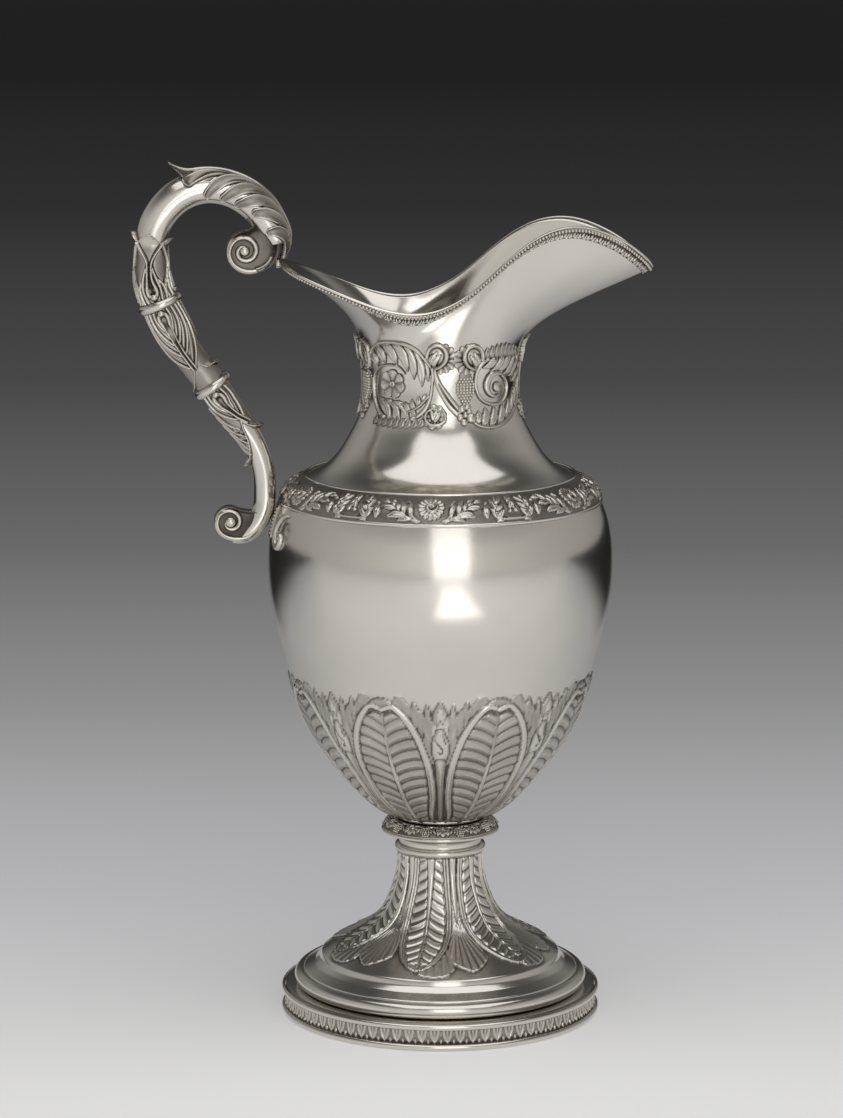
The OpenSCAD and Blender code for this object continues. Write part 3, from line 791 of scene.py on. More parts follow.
def make_stem_top():
    """Ring, cap, collar and seat between the stem and the bowl."""
    stem_r, half = 19.8, 2.1
    bore = stem_r - SHEET_T
    ring = np.vstack([[(bore, RING_Z - half)], half_round(stem_r, RING_Z, 2 * half, places=15),
                      [(bore, RING_Z + half)]])
    finish_piece(turned("stem_ring", ring), WIRE, "silver_wire", "stem_ring")
    top = COLLAR_Z - 1
    outline = spline([(stem_r, RING_Z + half), (stem_r, top - 3.4), (20.6, top - 2),
                      (22.4, top - 0.8), (24.8, top)], 30)
    cap = Wall(outline)
    finish_piece(turned("stem_cap", shell(cap, SHEET_T)), SHEET, "polished_silver", "stem_cap")
    edge = [(24.8, top), (COLLAR_R - 0.6, COLLAR_Z - 0.4), *COLLAR_SLOPE, (20.5, COLLAR_Z + 6)]
    finish_piece(turned("collar", shell(Wall(rounded_open(edge, 0.5)), SHEET_T)),
                 SHEET, "polished_silver", "collar")
    finish_piece(turned("collar_edge_wire", half_round(27.3, COLLAR_Z, 2)), WIRE, "silver_wire",
                 "collar_edge_wire")
    seat_h = BOWL_Z - COLLAR_Z - 6
    seat = np.vstack([[(19.3, COLLAR_Z + 6)], half_round(20.5, COLLAR_Z + 6 + seat_h / 2, seat_h),
                      [(19.3, BOWL_Z)]])
    finish_piece(turned("bowl_seat_ring", seat), WIRE, "silver_wire", "bowl_seat_ring")


def shell(wall, thickness):
    """Closed outline of a wall of even thickness."""
    inner = wall.p - wall.n * thickness
    return np.vstack([wall.p, inner[::-1]])


# ---------------------------------------------------------------- body

BOWL_LEAVES = 8


def chase_bowl(angle, s, r):
    """Eight gadrooned leaves rising from the seat, with a bud and acanthus tips between them."""
    cell = TURN / BOWL_LEAVES
    start = FRONT + cell / 2
    a = (angle - start + cell / 2) % cell - cell / 2
    leaf = Relief(a[None] * r[:, None], s[:, None])
    gap = leaf.shifted(((angle - start) % cell - cell / 2)[None] * r[:, None])
    for k in (-1, 1):
        gap.leaf([(k * 8, 58), (k * 14, 76), (k * 19.5, 87.5)], 9, 0.7, 3, notch=0.1,
                 form=(0.5, 0.9, 1, 0.95, 0.7))
        gap.leaf([(k * 5, 52), (k * 9.5, 72), (k * 12.6, 88)], 8.4, 0.9, 4, notch=0.2, base=0.15)
        gap.petal((k * 7.5, 70), (k * 9.6, 83.6), 5, 0.9, base=0.3)
        gap.leaf([(k * 2.5, 54), (k * 5, 72), (k * 6.2, 86.6)], 6.6, 1.0, 3, notch=0.2, base=0.3)
    gap.petal((0, 66), (0, 88.2), 6.6, 1.2, base=0.4, form=(0.6, 0.8, 1, 1, 0.15))
    gap.petal((0, 74), (0, 85), 3.4, 1.0, base=0.8, vein=0)
    for x, top in ((-3.6, 78.5), (3.6, 80.5), (0, 79)):
        gap.petal((x * 0.35, 64), (x, top), 4.4, 1.3, bend=0.05 * np.sign(x), base=0.5, cut=0.45)
    gap.stroke([(0, 55.5), (0.1, 61), (0, 67), (0, 72)], (6.2, 8.8, 8.4, 5), (1.6, 2, 1.9, 1.4), cut=0.45)
    gap.stroke([(-0.8, 61.5), (0.3, 60.2), (1.1, 62), (0, 64.5), (-1.8, 67), (-2.4, 70), (-1.2, 72.5)],
               (0.7, 1, 1, 0.8), -0.55, base=1.4, cut=0)
    gap.stroke([(2.6, 66), (1.4, 70), (1.8, 74)], 0.8, -0.45, base=1.2, cut=0)
    gap.stroke([(0, -1), (0, 20), (0, 54.5)], (2.2, 2.5, 3.4, 5.2), (0.9, 1.1, 1.4), cut=0.45)
    half = np.interp(s, (0, 12, 20, 30, 40, 50, 56, 62, 68, 74, 80, 83, 84.5),
                     (6.2, 8.6, 11.1, 14.1, 16, 17.2, 17.3, 16.7, 15.8, 13.8, 11.1, 8.8, 6))[:, None]
    x = np.abs(leaf.x)
    inside = np.minimum(half - x, 83 - leaf.y)
    spot = inside > -1.5
    leaf.lay(spot, inside[spot], np.full(leaf.h.shape, 0.15)[spot], cut=0.0)
    leaf.stroke([(-6.5, 85.4), (0, 87.2), (6.5, 85.4)], (0.8, 3.6, 4.4, 3.6, 0.8), 0.8, base=0.3,
                round_to=0.3)
    leaf.gadroons(half - 1.7, 1, np.interp(x, (0, 4, 9), (79.8, 81.5, 80)), 6.2, 0.85, 0.028, 1.05,
                  base=0.2)
    leaf.stroke([(0, -2), (0, 40), (0, 81)], (2.8, 2.2, 0.8), (1.5, 1.5, 1), base=0.1, cut=0.35)
    ribbon = [(half_at, y) for y, half_at in ((-2, 5.6), (6, 7.3), (12, 8.6), (20, 11.1), (30, 14.1),
              (40, 16), (50, 17.1), (56, 17.2), (62, 16.7), (68, 15.6), (74, 13.6), (80, 10.4), (84, 7),
              (85.2, 4.6), (84.4, 2.4), (83.4, 0))]
    for k in (-1, 1):
        side_path = [(k * px, py) for px, py in ribbon]
        leaf.stroke(side_path, (1.8, 2.4, 3.1, 3.4, 3.4, 2.8), (0.9, 1.1, 1.2, 1.2), base=0.35,
                    round_to=0.34, count=60, cut=0.45, moat=0.4)
    return leaf.h * smooth(leaf.y, -0.2, 1.5)


def chase_shoulder(angle, s, r):
    """A rolled strip on a matted ground: shells, sprigs, buds and tulips, six times round."""
    cell = TURN / 6
    start = FRONT - math.radians(3.3)
    a = (angle - start + cell / 2) % cell - cell / 2
    strip = Relief(a[None] * r[:, None], s[:, None])
    strip.roughen(strip.y > -1, 0.035, 7)
    mirror = strip.shifted(np.abs(strip.x))
    end = float(cell / 2 * r.mean())
    mirror.stroke([(5.2, 1.2), (8.6, 3.6), (8.9, 8), (10.5, 12)], (0.7, 1.1, 0.9), 0.8)
    mirror.stroke([(6.5, 1), (12, 3.6), (18, 9), (20.5, 13.2)], (1.3, 1.1, 0.7), 0.8)
    for a0, a1, width in (((9.2, 3.4), (11.3, 10.5), 3), ((12.8, 4.8), (14.2, 12.4), 3.2),
                          ((17, 8.4), (18.6, 14), 3), ((9.5, 2.4), (15.5, 1.5), 2.8),
                          ((12.6, 4), (20.6, 3.2), 3.6), ((17, 7.4), (23, 7.4), 3.2),
                          ((19.4, 11), (23.4, 11.8), 2.4), ((15.2, 6.4), (16.6, 11.4), 2.4)):
        mirror.petal(a0, a1, width, 0.9, bend=0.08)
    mirror.petal((26.2, 3.0), (24.6, 8.2), 3.6, 1.1, vein=0.15)
    mirror.bead(25, 10.4, 0.8, 0.7)
    mirror.stroke([(31.6, 0.8), (30.6, 6), (28.4, 14.2)], (1.2, 1.2, 0.7), 0.9)
    for a0, a1, width in (((31, 2.4), (27.6, 7), 2.8), ((30.8, 5.6), (26.6, 12.4), 2.8),
                          ((31.4, 2), (34, 6.6), 2.8), ((30.8, 5.6), (33.2, 10), 2.8),
                          ((29.8, 9.4), (31, 14.4), 2.6), ((31.6, 1.2), (35.4, 2.2), 2)):
        mirror.petal(a0, a1, width, 0.9, bend=-0.08)
    mirror.petal((end, 7.4), (end - 3.4, 14.6), 3, 0.9, bend=-0.12)
    mirror.petal((end, 7), (end, 14.2), 3.2, 1.1)
    mirror.bead(end, 5.4, 0.9, 0.8)
    mirror.stroke([(end - 3, 1.6), (end, 1.6), (end + 3, 1.6)], 1.0, 0.7)
    strip.flower(0, 8, 6.2, 15, 0.95, eye=0.12)
    strip.stroke([(0.9, 8.8), (-0.8, 9.3), (-1.8, 7.6), (-0.6, 5.8), (1.8, 6), (2.9, 8.2), (2, 10.6)],
                 (1.6, 1.6, 1.2, 0.9), 0.8, base=0.5)
    fade = smooth(strip.y, 0, 0.8) * smooth(strip.y, s[-1], s[-1] - 0.8)
    return strip.h * fade


def sprig(relief, spine, tips, width, height, base=0.0):
    """A leaf of separate lobes: spine and (root, tip, bend) for each lobe."""
    for root, tip, bend in tips:
        relief.petal(root, tip, width, height, bend=bend, base=base)
    if spine is not None:
        relief.stroke(spine, (1.0, 1.6, 0.9), height + 0.15, base=base, round_to=0.4)


def neck_joint(relief, dx):
    """Where two scrolls meet: a pair of curled leaves, a split stalk, a roundel and a knot."""

    def at(points):
        return [(x + dx, y) for x, y in points]
    for cx, cy, way in ((0.2 + dx, 321.6, 1), (13.4 + dx, 321, -1)):
        relief.flower(cx + 0.2 * way, cy - 0.4, 7.3, 13, 1.35, base=0.1, turn=0.2 * way)
        relief.bead(cx - 1.6 * way, cy + 1, 4.9, 0.9, base=0.45, cut=0.5)
        curl = [(cx - way * x, cy + y) for x, y in ((5.4, -5.4), (6.4, -0.6), (5, 4.4), (1.2, 6),
                                                    (-2, 3.6), (-2.2, -0.6), (0.2, -3.8), (3, -5))]
        relief.stroke(curl, (1.2, 1.8, 2.1, 2, 1.4), 1.2, base=0.9, cut=0.5, count=60)
        for x, y, far in ((4, 1.8, 1), (2, 3, 1), (0.2, 1.4, 1)):
            relief.petal((cx - way * 3.4, cy - 4), (cx - way * x, cy + y), 2.4, 1.1 * far,
                         bend=0.12 * way, base=0.85, cut=0.35)
    relief.stroke(at([(-3, 315.5), (-1, 309.3), (2.4, 303.6), (6, 298.6), (10, 294.6)]),
                  (2.2, 3.2, 4.4, 5, 4.6), 1.0, base=0.5, round_to=0.35, cut=0.4)
    relief.stroke(at([(-0.9, 309.5), (2.4, 303.6), (5.8, 299), (8.4, 296.2)]), (0.4, 0.9, 1, 0.5),
                  -0.5, base=0.9, cut=0)
    for x, y, size in ((10.6, 297.4, 2), (13, 298, 1.8), (9.6, 293.4, 1.9), (12.4, 294.6, 2),
                       (11, 291.2, 1.8), (13.8, 296, 1.5)):
        relief.bead(x + dx, y, size, 1.3, base=0.3, cut=0.35)
    relief.flower(-2.8 + dx, 294, 6, 9, 1.3, base=0.15, turn=0.4)
    relief.stroke(at([(1.4, 297.4), (2, 292.4), (-1.6, 290), (-6, 291.2), (-6.8, 295.2), (-4, 297.6)]),
                  (0.9, 1.8, 1.5, 1), 1.0, base=0.7, cut=0.45)
    for x, y in ((-4.4, 297), (-2, 297.6), (-0.2, 296.2)):
        relief.petal((-2.6 + dx, 291.6), (x + dx, y), 2.2, 1, base=0.8, cut=0.35)


def neck_scrolls(relief):
    """The flowered scroll and the curled-leaf scroll of one half of the neck's belt."""
    lobes = [((-37, 322), (-33.4, 316.4), 0.1), ((-33.5, 325.2), (-28, 318.4), 0.12),
             ((-28.5, 327.2), (-21.4, 318), 0.14), ((-23, 328), (-16, 315), 0.14),
             ((-18, 327.6), (-12.8, 311.4), 0.12), ((-13.4, 326), (-8.8, 308.2), 0.08),
             ((-9.6, 323.4), (-5.8, 310.8), 0.02)]
    for root, tip, bend in lobes[::-1]:
        relief.petal(root, tip, 5.4, 1.5, bend=bend, base=0.2, cut=0.45)
    relief.stroke([(-40, 318), (-36.7, 322.6), (-31.5, 326.6), (-21.5, 328.2), (-13.9, 326.6),
                   (-8.4, 322.6), (-4.6, 317.4)], (1.2, 2, 2, 1.8, 1.2), 1.5, base=0.2, count=50)
    relief.stroke([(-3.9, 316.8), (-3.9, 310.8), (-4.5, 304.9), (-5.9, 300.1), (-8.6, 295.9),
                   (-13.4, 292.6), (-18.2, 291.2), (-23.6, 291.1), (-29.3, 292.8), (-34.4, 296.9),
                   (-37.3, 302.5), (-37.4, 308.6), (-35.2, 313), (-30.8, 316.2), (-25.7, 317.4),
                   (-20.8, 316.8), (-17.4, 313.6)], (1.3, 2, 2.6, 3, 2.4, 1.8, 1.4, 1), 1.3,
                  base=0.25, count=90, cut=0.4)
    for root, tip, bend in (((-25, 291.6), (-34.2, 301.4), -0.2), ((-20, 292.2), (-29.4, 301), -0.2),
                            ((-15.5, 293.2), (-24.4, 300.4), -0.18), ((-12, 294.6), (-19.2, 299.2), -0.15)):
        relief.petal(root, tip, 3.6, 1.4, bend=bend, base=0.35, cut=0.4)
    sprig(relief, [(-15.5, 295.6), (-10.4, 298.4), (-5.6, 303.8)],
          [((-14.5, 296), (-17.4, 300.6), 0.1), ((-12, 297), (-14, 302), 0.1),
           ((-9.6, 298.6), (-10.4, 303.4), 0.1), ((-7.6, 300.6), (-7, 304.6), 0.1)], 3, 1.2, 0.3)
    for k in range(9):
        x = -35 + 3.1 * k
        relief.petal((x + 1.6, 292.5), (x, 288 + 0.05 * (k - 4) ** 2), 3.6, 1.0, base=0.1, bend=0.1)
    relief.flower(-24.6, 308.4, 7, 7, 1.5, base=0.2, turn=0.3)
    for k in range(6):
        turn = k * TURN / 6
        relief.bead(-24.6 + 0.95 * math.cos(turn), 308.4 + 0.95 * math.sin(turn), 0.5, 0.5, base=1.1,
                    cut=0.1)
    for root, tip, bend in (((17, 290.6), (18.4, 296), 0.1), ((20, 289.4), (22.4, 297.4), 0.12),
                            ((24, 289), (27.4, 297.8), 0.14), ((29, 289.6), (33, 298.4), 0.14),
                            ((34, 291), (38.6, 299.6), 0.12), ((39.5, 294), (44, 302), 0.1),
                            ((44, 297), (46.6, 305), 0.08)):
        relief.petal(root, tip, 4.6, 1.4, bend=-bend, base=0.2, cut=0.4)
    relief.stroke([(14.3, 292.6), (17, 289.8), (23, 288.2), (30.8, 289.2), (39.6, 292.9),
                   (46.3, 298), (50.3, 304.4), (49.6, 311.6), (46, 317.6), (40, 321.6), (33, 322.6),
                   (25.4, 321.6), (19.7, 318.2), (17.4, 313.4), (17.4, 307), (20.4, 301.4),
                   (26.6, 298.6), (33.4, 299.6), (37, 303.8), (36.4, 308.6), (32.2, 312.2)],
                  (1.4, 2.2, 2.6, 2.6, 2, 1.8, 1.6), 1.3, base=0.25, count=110, cut=0.4)
    for root, tip, bend in (((28, 322), (20.8, 316.4), 0.15), ((32, 322.4), (24.8, 313.6), 0.18),
                            ((37, 322), (29.6, 314.6), 0.18), ((42, 320.6), (34.8, 312.4), 0.16),
                            ((46.4, 317.6), (39.6, 311), 0.12), ((49, 313.4), (43, 308), 0.1)):
        relief.petal(root, tip, 4.4, 1.4, bend=bend, base=0.35, cut=0.4)
    relief.stroke([(32.4, 312.4), (27, 313), (23.9, 309.6), (24, 305.2), (27.4, 302.4), (31, 303)],
                  (1.6, 3.4, 4, 2.4, 1), 1.5, base=0.3, cut=0.4)
    relief.bead(30, 306.6, 2.6, 1.2, base=0.4)
    relief.bead(14.6, 293, 2.4, 1.6, base=0.3)
    for k in range(8):
        x = 22 + 2.9 * k
        relief.petal((x - 0.4, 321), (x + 0.6, 326.8 - 0.14 * (k - 3) ** 2), 3.6, 1.0, base=0.1, bend=-0.1)


# Radius on which the belt's drawing is laid out, its half round and its second bunch.
BELT_R = 37.5
NECK_HALF = math.pi * BELT_R
SECOND_BUNCH = 59.5


def grape_places(dx):
    """Centres of the grapes of one bunch: close rows that narrow towards its tip."""
    rows = []
    for k, count in enumerate((4, 5, 6, 6, 6, 6, 5, 4, 3, 2)):
        y = 311.6 - 1.32 * k
        rows += [(12 + dx + 1.55 * (i - (count - 1) / 2), y) for i in range(count)]
    return rows


def neck_place(turn):
    """Sets heights on the neck: x is the arc from the middle of this half."""
    neck = Wall(spline(NECK[4:], 90))

    def place(x, y, h):
        angle = FRONT + turn + x / BELT_R
        r, z, nr, nz = neck.at(np.interp(y, neck.p[:, 1], neck.s))
        lift = np.maximum(y - MOUTH_Z, 0)
        spout = np.cos(angle)
        open_out = lift ** 2 * np.where(spout > 0, 0.055 * spout ** 2, 0.02 * spout ** 2)
        r = np.where(y > MOUTH_Z, MOUTH_R + 0.05 * lift + open_out, r) + np.where(y > MOUTH_Z, 1, nr) * h
        z = np.where(y > MOUTH_Z, y, z + nz * h)
        return np.stack([r * np.cos(angle), r * np.sin(angle), z], -1)
    return place


def make_neck_band():
    """Cast openwork belt of scrolls round the neck, in two halves, with bunches of grapes."""
    x = np.linspace(-NECK_HALF / 2, NECK_HALF / 2, 352)
    y = np.arange(286, 330.3, 0.33)
    relief = Relief(x[None], y[:, None], -0.7)
    ring = [relief.shifted(relief.x + shift) for shift in (-NECK_HALF, 0, NECK_HALF)]
    for patch in ring:
        for dx in (0, SECOND_BUNCH):
            patch.stroke([(12 + dx, 312.5), (12.2 + dx, 306), (12 + dx, 298.4)],
                         (6.6, 8.6, 7.6, 2.6), 0.9)
        neck_joint(patch, 0)
        neck_joint(patch, SECOND_BUNCH)
        neck_scrolls(patch)
    recess = np.maximum(hollowness(relief.h, 5, 0.5, False), 0.9 * smooth(relief.h, 0.4, -0.1))
    recess = np.maximum(recess, 0.4 * smooth(relief.h, 1.4, 0.9))
    for number, turn in enumerate((0, math.pi), 1):
        place = neck_place(turn)
        piece = pierced(f"neck_scroll_band_{number}", lambda h: place(relief.x, relief.y, h), relief.h,
                        recess)
        finish_piece(piece, CAST, "cast_silver", "neck_scroll_band")
    grapes = np.array(grape_places(0) + grape_places(SECOND_BUNCH))
    spots = [neck_place(turn)(grapes[:, 0], grapes[:, 1], np.full(len(grapes), 0.75))
             for turn in (0, math.pi)]
    piece = beads("neck_grapes", np.vstack(spots), 0.82, CAST)
    finish_piece(piece, CAST, "cast_silver", "neck_scroll_band")


def make_bowl():
    """Raised bowl, chased with leaves up to its shoulder line and plain above."""
    wall = Wall(spline(BOWL, 240))
    rise = np.linspace(0, 90, 140)
    columns = BOWL_LEAVES * 78
    angle = np.arange(columns) * TURN / columns
    relief = chase_bowl(angle, rise, wall.at(rise)[0])
    # Above the tips only a thin line of oxide follows the leaves.
    plain = (relief < 0.1) & (rise[:, None] > 74)
    recess = hollowness(relief, 4, 0.5) * np.where(plain, 0.2, 0.85)
    recess = np.maximum(recess, 0.8 * hollowness(relief, 1, 0.45))
    recess = np.maximum(recess, 0.42 * smooth(relief, 0.05, 0.3) * smooth(relief, 1.5, 1.1))
    few = angle[::COARSER]
    plain_s = np.linspace(91, wall.length, 46)
    back = np.linspace(wall.length, 3, 30)
    flat, inner = np.zeros((len(plain_s), len(few))), np.zeros((len(back), len(few)))
    ring = np.stack([np.cos(few), np.sin(few), 0 * few], -1)
    floor = [ring * (0.05, 0.05, 0) + (0, 0, BOWL_Z + SHEET_T), ring * (0.05, 0.05, 0) + (0, 0, BOWL_Z)]
    piece = loft("bowl", [
        (wall.places(angle[None], rise[:, None], relief), recess),
        (wall.places(few[None], plain_s[:, None], flat), flat),
        (wall.places(few[None], back[:, None], inner - SHEET_T), inner),
        (np.array(floor), np.zeros((2, len(few))))])
    finish_piece(piece, SHEET, "polished_silver", "bowl")


def make_shoulder():
    """Rolled strip between two wires where the bowl turns in to the neck."""
    finish_piece(turned("shoulder_lower_wire", half_round(76, 249.4, 1.8, -8)), WIRE, "silver_wire",
                 "shoulder_lower_wire")
    finish_piece(turned("shoulder_upper_wire", half_round(64, 261.5, 1.6, 64)), WIRE, "silver_wire",
                 "shoulder_upper_wire")
    band = Wall(spline(SHOULDER, 60))
    rise = np.linspace(0, band.length, 48)
    columns = 1320
    angle = np.arange(columns) * TURN / columns
    relief = 0.35 + chase_shoulder(angle, rise, band.at(rise)[0])
    recess = np.maximum(hollowness(relief, 4, 0.5), 0.6 * smooth(relief, 0.7, 0.35))
    piece = turned_relief("shoulder_band", band, rise, relief, recess, 6)
    finish_piece(piece, CHASED, "chased_silver", "shoulder_band")
    neck = Wall(np.vstack([spline(SHOULDER, 24), spline(NECK, 110)[1:]]))
    finish_piece(turned("shoulder_neck", shell(neck, SHEET_T), 360), SHEET, "polished_silver",
                 "shoulder_neck")


# ---------------------------------------------------------------- mouth

MOUTH_R, MOUTH_Z = NECK[-1]
RIM_END = len(RIM) - 1


def rim_places(s):
    """Mouth edge at places s, counted in points of RIM and signed by side of the pitcher."""
    p = np.array(RIM, float)
    mirror = p[::-1] * (1, -1, 1)
    ring = np.vstack([mirror[:-1], p[:-1], mirror[:-1], p])
    knots = np.arange(len(ring)) - RIM_END
    q = cubic(knots, ring, np.ravel(s))
    return q.reshape(*np.shape(s), 3)


def mouth_places(s, t):
    """The mouth's surface: s runs round its edge and t from its foot (0) to its edge (1)."""
    a = math.pi * s / RIM_END
    foot = np.stack([MOUTH_R * np.cos(a), MOUTH_R * np.sin(a), MOUTH_Z + 0 * a], -1)
    edge = rim_places(s)
    rise = edge - foot
    back = (1 - np.cos(a)) / 2
    flare = 0.155 + 0.365 * back
    upturn = 0.31 - 0.14 * np.maximum(0, np.cos(a)) ** 6
    pull = edge - np.stack([flare * rise[..., 0], flare * rise[..., 1], upturn * rise[..., 2]], -1)
    lift = foot + np.stack([0 * a, 0 * a, 0.4 * rise[..., 2]], -1)
    t = np.asarray(t)[..., None]
    return (1 - t) ** 3 * foot + 3 * t * (1 - t) ** 2 * lift + 3 * t * t * (1 - t) * pull + t ** 3 * edge


def mouth_frame(s, t):
    """Outward normal and upward direction of the mouth's surface."""
    e = 0.004
    across = mouth_places(s + e, t) - mouth_places(s - e, t)
    up = mouth_places(s, np.minimum(t + e, 1)) - mouth_places(s, np.maximum(t - e, 0))
    return unit(np.cross(across, up)), unit(up)


def make_mouth():
    """Flared mouth with its raised spout."""
    s = np.linspace(-RIM_END, RIM_END, 321)[:-1][None]
    t = np.linspace(0, 1, 44)[:, None]
    s, t = np.broadcast_arrays(s, t)
    outer = mouth_places(s, t)
    normal, _ = mouth_frame(s, t)
    level = normal * (1, 1, 0)
    inner = outer - SHEET_T * np.where(t[..., None] < 0.02, unit(level), normal)
    verts = np.concatenate([outer, inner[::-1]])
    piece = mesh_piece("mouth", verts, grid_faces(len(verts), 320, True, True),
                       recess=np.zeros(verts.shape[:2]))
    finish_piece(piece, SHEET, "polished_silver", "mouth")


def rim_frame(count):
    """Edge places, outward and upward directions round the mouth, evenly spread."""
    fine = np.linspace(-RIM_END, RIM_END, 2000)
    length = np.r_[0, np.cumsum(np.linalg.norm(np.diff(rim_places(fine), axis=0), axis=1))]
    s = np.interp(np.linspace(0, length[-1], count + 1)[:-1], length, fine)
    edge = rim_places(s)
    normal, _ = mouth_frame(s, np.full(s.shape, 0.98))
    up = unit(edge - mouth_places(s, np.full(s.shape, 0.96)))
    return edge, normal, up, length[-1]


def rim_strip(name, section, count):
    """A strip of constant section that follows the mouth's edge."""
    edge, normal, up, _ = rim_frame(count)
    rows = [edge + q[0] * normal + q[1] * up for q in section]
    return mesh_piece(name, np.array(rows), grid_faces(len(rows), count, True, True),
                      recess=np.zeros((len(rows), count)))


def make_rim():
    """Edge wire, a row of beads and a foliate strip under it."""
    a = np.radians(np.arange(12) * -30)
    wire = np.stack([0.7 * np.cos(a) - 0.1, 1.1 + 0.7 * np.sin(a)], 1)
    finish_piece(rim_strip("rim_wire", wire, 480), WIRE, "silver_wire", "rim_wire")
    length = rim_frame(8)[3]
    edge, normal, up, _ = rim_frame(round(length / 1.7))
    piece = beads("rim_beads", edge + 0.75 * normal - 0.6 * up, 0.82, CHASED)
    finish_piece(piece, CHASED, "chased_silver", "rim_leaf_band")
    repeats, across = round(length / 4.6), 15
    count = repeats * across
    edge, normal, up, _ = rim_frame(count)
    y = np.linspace(-1.3, -4.9, 14)
    x = ((np.arange(count) % across) / across - 0.5) * 4.6
    strip = Relief(x[None], y[:, None])
    strip.roughen(strip.y < 0, 0.02, 3)
    for dx in (-4.6, 0, 4.6):
        strip.petal((dx, -4.6), (dx, -1.5), 1.5, 0.6, vein=0.1)
        for k in (-1, 1):
            strip.petal((dx + 0.3 * k, -4.5), (dx + 1.7 * k, -2), 1.3, 0.6, bend=-0.2 * k, vein=0.1)
            strip.petal((dx + 0.8 * k, -4.6), (dx + 2.3 * k, -3.6), 1, 0.5, bend=-0.2 * k, vein=0)
    h = 0.35 + strip.h
    front = edge + h[..., None] * normal + y[:, None, None] * up
    back = [edge - 0.1 * normal + low * up for low in (-4.9, -1.3)]
    recess = np.vstack([np.maximum(hollowness(h, 2, 0.35), 0.8 * smooth(strip.h, 0.3, 0.05)),
                        np.zeros((2, count))])
    piece = mesh_piece("rim_leaves", np.vstack([front, back]), grid_faces(len(y) + 2, count, True, True),
                       recess=recess)
    finish_piece(piece, CHASED, "chased_silver", "rim_leaf_band")


# ---------------------------------------------------------------- handle

CALYX_AT, UPPER_RING_AT, LOWER_RING_AT, LOWER_TUBE_AT = 7, 10, 14, 17
HANDLE_END = len(HANDLE) - 1
RING_HALF = 0.2


def bar_frame(s, line=HANDLE, first=0):
    """Centre, outward direction and radius of the handle at places s of its centre line."""
    knots = np.arange(len(line)) + first
    q = cubic(knots, line, s)
    d = cubic(knots, line, s + 0.005) - cubic(knots, line, s - 0.005)
    d = unit(d[:, :2])
    centre = np.stack([q[:, 0], 0 * s, q[:, 1]], 1)
    out = np.stack([d[:, 1], 0 * s, -d[:, 0]], 1)
    return centre, out, q[:, 2]


class Bar:
    """A length of the handle as a grid of places: rows along it, columns round it."""

    def __init__(self, first, last, rows, columns, spread=TURN, line=HANDLE, start=0):
        self.s = np.linspace(first, last, rows)
        self.whole = spread == TURN
        self.angle = (np.arange(columns) / columns - 0.5) * TURN if self.whole \
            else np.linspace(-spread / 2, spread / 2, columns)
        self.centre, self.out, self.r = bar_frame(self.s, line, start)
        steps = np.linalg.norm(np.diff(self.centre, axis=0), axis=1)
        self.length = np.r_[0, np.cumsum(steps)]

    def relief(self, middle=0.0, repeats=1):
        """Ground for chasing; x is the arc from the line at angle middle, y the length."""
        part = TURN / repeats
        a = (self.angle - middle + part / 2) % part - part / 2
        return Relief(a[None] * self.r[:, None], self.length[:, None])

    def places(self, h):
        """Places at height h over the bar."""
        rho = self.r[:, None] + h
        return self.centre[:, None] + rho[..., None] * (
            np.cos(self.angle)[None, :, None] * self.out[:, None]
            + np.sin(self.angle)[None, :, None] * np.array((0, 1, 0)))

    def solid(self, name, h, recess):
        """A closed solid of these places."""
        skin = self.places(h)
        ends = np.repeat(self.centre[[0, -1], None], len(self.angle), 1)
        verts = np.concatenate([ends[:1], skin, ends[1:]])
        recess = np.concatenate([recess[:1], recess, recess[-1:]])
        faces = grid_faces(len(self.s) + 2, len(self.angle), False, True)
        return mesh_piece(name, verts, faces, weld=True, recess=recess)


# Handle's side towards the viewer, a little round to the outside, where each sheath has its slit.
SLIT_AT = math.radians(-80)


def keyhole(patch, joins, slit_end, first=3.0, spread=2.4):
    """A slit that opens to a drop, with nested ridges that run in to its two borders."""
    mirror = patch.shifted(np.abs(patch.x))
    for k, join in reversed(list(enumerate(joins))):
        x = first + spread * k
        path = [(x - 0.2, -2), (x + 0.6, 0.32 * join), (0.62 * x + 0.3, 0.76 * join), (0.9, join + 0.6)]
        mirror.stroke([(px - 1.6, py - 0.5) for px, py in path], (2.6, 3, 2.6, 1.4), 0.55, cut=0.5,
                      round_to=0.7)
        mirror.stroke(path, (1.1, 1.3, 1.3, 1), 1.15, cut=0.45, moat=0.5)
    mirror.stroke([(0.2, 0.9), (1.7, 2.6), (2.0, 4.8), (1.3, 8), (0.85, 12), (0.85, slit_end)],
                  (1.8, 1.7, 1.5, 1.2, 1.1, 1), 1.4, cut=0.45)
    patch.stroke([(0, 3.2), (0, 5.4), (0, 9), (0, slit_end)], (1.2, 2.2, 1.2, 0.7, 0.7), -0.75,
                 base=0.2, cut=0)
    patch.bead(0, 1.5, 1.6, 1.8)


